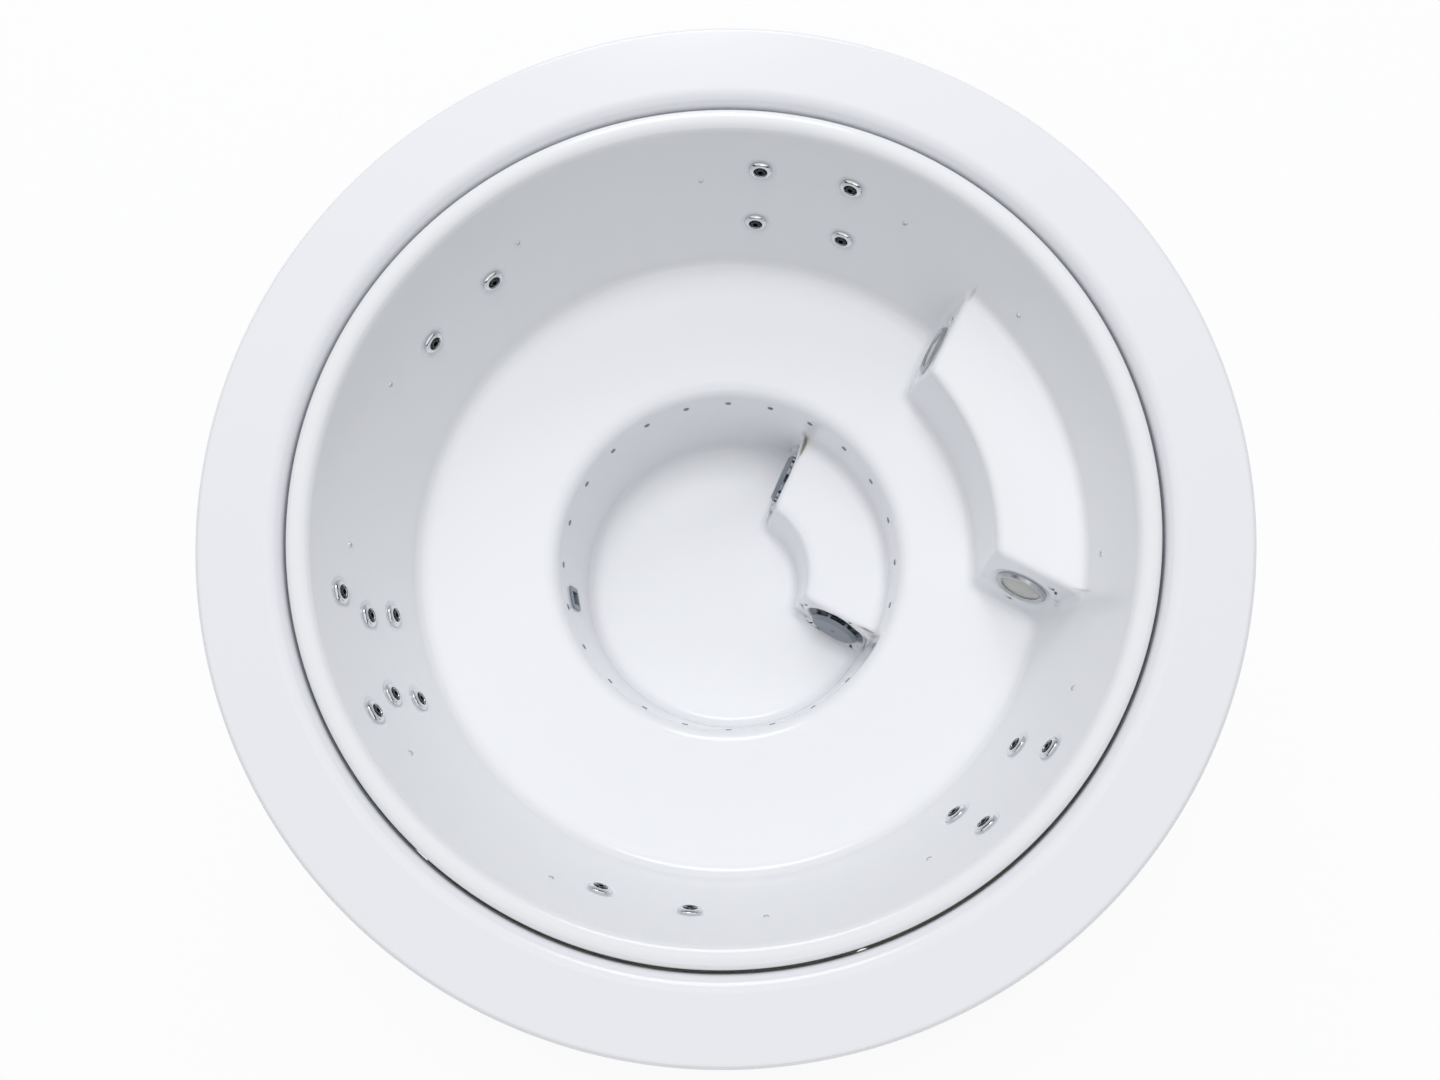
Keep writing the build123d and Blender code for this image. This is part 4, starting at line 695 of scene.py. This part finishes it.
def levelling_foot():
    """Foot with a black moulded pad below its hexagon and a bright zinc-plated thread above it."""
    material, tree, shader, place = new_finish("levelling_foot", linear("191A1B"), 0.4, {})
    height = add_node(tree, "ShaderNodeSeparateXYZ", {}, {"Vector": place}).outputs["Z"]
    above = add_node(
        tree, "ShaderNodeMath", {"operation": "GREATER_THAN"}, {0: height, 1: 0.012}
    ).outputs["Value"]
    tones = add_node(
        tree, "ShaderNodeMix", {"data_type": "RGBA"},
        {"Factor": above, 6: (*linear("191A1B"), 1), 7: (*linear("B8BABD"), 1)},
    )
    tree.links.new(tones.outputs[2], shader.inputs["Base Color"])
    tree.links.new(above, shader.inputs["Metallic"])
    threads = add_node(tree, "ShaderNodeTexWave", {"bands_direction": "Z"}, {"Vector": place, "Scale": 100.0})
    relief(tree, shader, threads.outputs["Fac"], 0.0004)
    return material


def finishes(colours):
    """The record's material slots and the finish of each."""
    return {
        "acrylic": cast_acrylic("cast_acrylic", colours.acrylic),
        "grey_acrylic": cast_acrylic("cast_acrylic_collar", colours.collar),
        "grp": glass_fibre_laminate(),
        "chrome": chromed_plastic(),
        "nozzle": moulded_plastic("black_nozzle_plastic", linear("101113"), 0.12, 0.25, 300.0, 0.00005),
        "abs_grey": moulded_plastic("grey_moulded_plastic", colours.suction, 0.28, 0.42, 420.0, 0.00008),
        "pvc_white": moulded_plastic("white_pressure_pipe", linear("DEDFDC"), 0.3, 0.42, 90.0, 0.0001),
        "abs_black": moulded_plastic("black_moulded_plastic", linear("17181A"), 0.32, 0.48, 420.0, 0.0001),
        "seal": black_rubber(),
        "lens": clear_polycarbonate(),
        "stainless": stainless_steel(),
        "galvanised": galvanised_steel(colours.steel),
        "plywood": birch_plywood(),
        "lever": moulded_plastic("red_moulded_plastic", colours.lever, 0.28, 0.4, 300.0, 0.0001),
        "foot": levelling_foot(),
    }


def finish_of(slot_name):
    return bpy.data.materials[bpy.context.scene["finish_names"][slot_name]]


class HOTTUB_OT_finishes(bpy.types.Operator):
    """Make the finishes and give each fitting, pipe and stand piece its own"""
    bl_idname = "hottub.finishes"
    bl_label = "Finishes"

    def execute(self, context):
        made = finishes(context.scene.tub_colours)
        context.scene["finish_names"] = {slot_name: material.name for slot_name, material in made.items()}
        for entry in frame["record"]["subparts"]:
            node = frame["nodes"][entry["node"]]
            for place in node.material_slots:
                place.material = made[entry["material_slot"]]
        return {"FINISHED"}


class HOTTUB_OT_basin(bpy.types.Operator):
    """Form the basin: one acrylic sheet with its steps, seat, rim, jet dishes and recesses"""
    bl_idname = "hottub.basin"
    bl_label = "Basin"

    def execute(self, context):
        sizes = context.scene.tub_sizes
        sheet = Sheet(sizes)
        for centre, axis in jet_places():
            sheet.fit(centre, axis, JET_REACH, level(JET_RINGS), dish(centre, axis, *JET_DISH))
        for centre, axis in on_end(UPPER_STEP, *STEP_LIGHT):
            sheet.fit(centre, axis, LIGHT_REACH, level(LIGHT_RINGS), dish(centre, axis, *LIGHT_DISH))
        for centre, axis in on_end(LOWER_STEP, *SUCTION):
            sheet.fit(centre, axis, NICHE_REACH, NICHE_RINGS, recess(centre, axis, *NICHE))
        sheet.fit(
            *inlet_place(sizes), INLET_REACH, level(INLET_RINGS), None, INLET_SQUARENESS, INLET_SLENDERNESS
        )
        points, faces, normals, which = thicken(sheet, sizes.sheet)
        materials = [finish_of("acrylic"), finish_of("grp")]
        basin = new_object("basin", points, faces, normals, materials, which)
        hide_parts("basin_shell")
        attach(basin, "tub")
        return {"FINISHED"}


class HOTTUB_OT_collar(bpy.types.Operator):
    """Turn the deck collar outside the overflow slot"""
    bl_idname = "hottub.collar"
    bl_label = "Collar"

    def execute(self, context):
        corners = (
            (0.984, 0.948), (0.992, 0.948), (0.992, 1.013), (1.167, 1.013),
            (1.167, 0.981), (1.175, 0.981), (1.175, 1.021), (0.984, 1.021),
        )
        radii = (0.0015, 0.0015, 0.030, 0.006, 0.0015, 0.0015, 0.014, 0.038)
        outline, normals = rounded_outline(corners, radii, (3, 3, 10, 4, 3, 3, 10, 18))
        points, quads, directions = turned(outline, normals, 360)
        collar = new_object("collar", points, quads.tolist(), directions, [finish_of("grey_acrylic")])
        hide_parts("overflow_collar")
        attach(collar, "tub")
        return {"FINISHED"}


class HOTTUB_OT_jet_rings(bpy.types.Operator):
    """Turn the jets' domed chrome rings and set one at each jet"""
    bl_idname = "hottub.jet_rings"
    bl_label = "Jet rings"

    def execute(self, context):
        corners = (
            (0.0152, -0.0025), (0.0288, -0.0025), (0.0288, 0.0035), (0.0215, 0.0092), (0.0144, 0.0070),
        )
        radii = (0.0005, 0.0005, 0.0040, 0.0120, 0.0035)
        outline, normals = rounded_outline(corners, radii, (1, 1, 5, 9, 6))
        points, faces, directions, start = [], [], [], 0
        for centre, axis in jet_places():
            across = np.cross(UP, axis)
            across /= np.linalg.norm(across)
            p, quads, n = turned(outline, normals, 48, centre, axis, across)
            points.append(p)
            directions.append(n)
            faces += (quads + start).tolist()
            start += len(p)
        rings = new_object(
            "jet_ring_set", np.vstack(points), faces, np.vstack(directions), [finish_of("chrome")]
        )
        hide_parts("jet_rings")
        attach(rings, "tub")
        return {"FINISHED"}


class HOTTUB_OT_stage(bpy.types.Operator):
    """Set out the pale floor, the lamps, the dark ring that paints dark reflections in bright metal, the even
    light and the camera
    """
    bl_idname = "hottub.stage"
    bl_label = "Stage"

    def execute(self, context):
        scene, studio = context.scene, context.scene.studio_settings
        points = FLOOR_HALF * np.array([(-1, -1, 0), (1, -1, 0), (1, 1, 0), (-1, 1, 0)], float)
        normals = np.tile(UP, (4, 1))
        floor = new_object("studio_floor", points, [(0, 1, 2, 3)], normals, [studio_floor(studio.floor)])
        # dark ring seen only in reflections: painted dark reflections in the chrome
        painted_reflection_ring()
        round_lamp("key_lamp", studio.key, *KEY_LAMP)
        round_lamp("fill_lamp", studio.fill, *FILL_LAMP)
        overhead = bpy.data.lights.new("overhead_light", "SUN")
        overhead.energy, overhead.angle = studio.overhead, math.radians(OVERHEAD_SPREAD)
        holder = bpy.data.objects.new("overhead_light", overhead)
        holder.rotation_euler = (math.radians(OVERHEAD_TILT), 0, 0)
        holder.visible_glossy = False
        scene.collection.objects.link(holder)
        scene.world = studio_world(studio.ambient)
        camera = bpy.data.cameras.new("camera")
        camera.lens, camera.sensor_width, camera.clip_end = CAMERA_LENS, CAMERA_SENSOR, CAMERA_SIGHT
        viewer = bpy.data.objects.new("camera", camera)
        viewer.location = CAMERA_PLACE
        viewer.rotation_euler = [math.radians(turn) for turn in CAMERA_TURN]
        scene.collection.objects.link(viewer)
        scene.camera = viewer
        scene.view_settings.view_transform = "Standard"
        return {"FINISHED"}


def round_lamp(name, power, size, place):
    """Soft round lamp, turned to the middle of the tub."""
    lamp = bpy.data.lights.new(name, "AREA")
    lamp.shape, lamp.size, lamp.energy = "DISK", size, power
    holder = bpy.data.objects.new(name, lamp)
    holder.location = place
    aim = np.array(LAMP_AIM) - np.array(place)
    tilt = math.acos(-aim[2] / np.linalg.norm(aim))
    holder.rotation_euler = (tilt, 0, math.atan2(aim[1], aim[0]) - math.pi / 2)
    bpy.context.scene.collection.objects.link(holder)


def painted_reflection_ring():
    """Painted dark reflection: a near-black ring that lights and plain rays pass, and bright metal mirrors as a
    dark line.
    """
    back = PAINTED_REFLECTION_RADIUS + PAINTED_REFLECTION_THICKNESS
    outline = np.array((
        (PAINTED_REFLECTION_RADIUS, PAINTED_REFLECTION_FOOT), (back, PAINTED_REFLECTION_FOOT),
        (back, PAINTED_REFLECTION_TOP), (PAINTED_REFLECTION_RADIUS, PAINTED_REFLECTION_TOP),
    ))
    normals = np.array(((-1, 0), (1, 0), (1, 0), (-1, 0)))
    points, quads, directions = turned(outline, normals, 96)
    dark_ring = new_object("painted_dark_reflection_ring", points, quads.tolist(), directions, [dark_reflection_finish()])
    # seen only by mirror rays: it paints dark reflections and casts no shade
    dark_ring.visible_camera = dark_ring.visible_diffuse = dark_ring.visible_shadow = False
    dark_ring.visible_transmission = False
    return dark_ring


def dark_reflection_finish():
    """Near-black dull finish of the dark ring: it hardly reflects, and paints the dark reflected lines in bright
    metal.
    """
    material, tree, shader, place = new_finish("dark_reflection_paint", linear("0C0C0D"), 0.9, {})
    ripple = add_node(tree, "ShaderNodeTexNoise", {}, {"Vector": place, "Scale": 2.0})
    relief(tree, shader, ripple.outputs["Fac"], 0.01)
    return material


def background_rays(tree):
    """1 for rays that should see the plain white background: seen direct, mirrored or through glass."""
    path = add_node(tree, "ShaderNodeLightPath", {}, {})
    seen = add_node(
        tree, "ShaderNodeMath", {"operation": "MAXIMUM"},
        {0: path.outputs["Is Camera Ray"], 1: path.outputs["Is Glossy Ray"]},
    )
    return add_node(
        tree, "ShaderNodeMath", {"operation": "MAXIMUM"},
        {0: seen.outputs["Value"], 1: path.outputs["Is Transmission Ray"]},
    ).outputs["Value"]


def studio_floor(colour):
    """Painted board: pale and dull, made white for rays that see the background, and keeping its shadows."""
    material = bpy.data.materials.new("painted_floor")
    material.use_nodes = True
    tree = material.node_tree
    tree.nodes.clear()
    board = add_node(tree, "ShaderNodeBsdfDiffuse", {}, {"Color": (*colour, 1)}).outputs["BSDF"]
    white = add_node(tree, "ShaderNodeEmission", {}, {"Color": (1, 1, 1, 1), "Strength": 1.0})
    part = add_node(
        tree, "ShaderNodeMath", {"operation": "MULTIPLY"}, {0: background_rays(tree), 1: FLOOR_WHITENESS}
    )
    mixed = add_node(
        tree, "ShaderNodeMixShader", {},
        {0: part.outputs["Value"], 1: board, 2: white.outputs["Emission"]},
    )
    add_node(tree, "ShaderNodeOutputMaterial", {}, {"Surface": mixed.outputs["Shader"]})
    return material


def studio_world(strength):
    """Even light from all round, white where the background is seen."""
    world = bpy.data.worlds.new("studio")
    world.use_nodes = True
    tree = world.node_tree
    tree.nodes.clear()
    even = add_node(tree, "ShaderNodeBackground", {}, {"Color": (0.96, 0.98, 1.0, 1), "Strength": strength})
    white = add_node(tree, "ShaderNodeBackground", {}, {"Color": (1, 1, 1, 1), "Strength": 1.0})
    mixed = add_node(
        tree, "ShaderNodeMixShader", {},
        {0: background_rays(tree), 1: even.outputs["Background"], 2: white.outputs["Background"]},
    )
    add_node(tree, "ShaderNodeOutputWorld", {}, {"Surface": mixed.outputs["Shader"]})
    return world


class HOTTUB_PT_panel(bpy.types.Panel):
    bl_idname = "HOTTUB_PT_panel"
    bl_label = "Hot Tub"
    bl_space_type = "VIEW_3D"
    bl_region_type = "UI"
    bl_category = "Hot Tub"

    def draw(self, context):
        for operator in OPERATORS:
            self.layout.operator(operator.bl_idname)
        for group in (context.scene.tub_sizes, context.scene.tub_colours, context.scene.studio_settings):
            for name in group.bl_rna.properties.keys()[2:]:
                self.layout.prop(group, name)


GROUPS = (TubSizes, TubColours, StudioSettings)
OPERATORS = (
    HOTTUB_OT_finishes, HOTTUB_OT_basin, HOTTUB_OT_collar, HOTTUB_OT_jet_rings, HOTTUB_OT_stage,
)


def register():
    for item in (*GROUPS, *OPERATORS, HOTTUB_PT_panel):
        bpy.utils.register_class(item)
    bpy.types.Scene.tub_sizes = PointerProperty(type=TubSizes)
    bpy.types.Scene.tub_colours = PointerProperty(type=TubColours)
    bpy.types.Scene.studio_settings = PointerProperty(type=StudioSettings)


def unregister():
    del bpy.types.Scene.studio_settings, bpy.types.Scene.tub_colours, bpy.types.Scene.tub_sizes
    for item in reversed((*GROUPS, *OPERATORS, HOTTUB_PT_panel)):
        bpy.utils.unregister_class(item)


def main():
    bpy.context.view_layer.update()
    register()
    bpy.ops.hottub.finishes()
    bpy.ops.hottub.basin()
    bpy.ops.hottub.collar()
    bpy.ops.hottub.jet_rings()
    bpy.ops.hottub.stage()


if __name__ == "__main__":
    main()
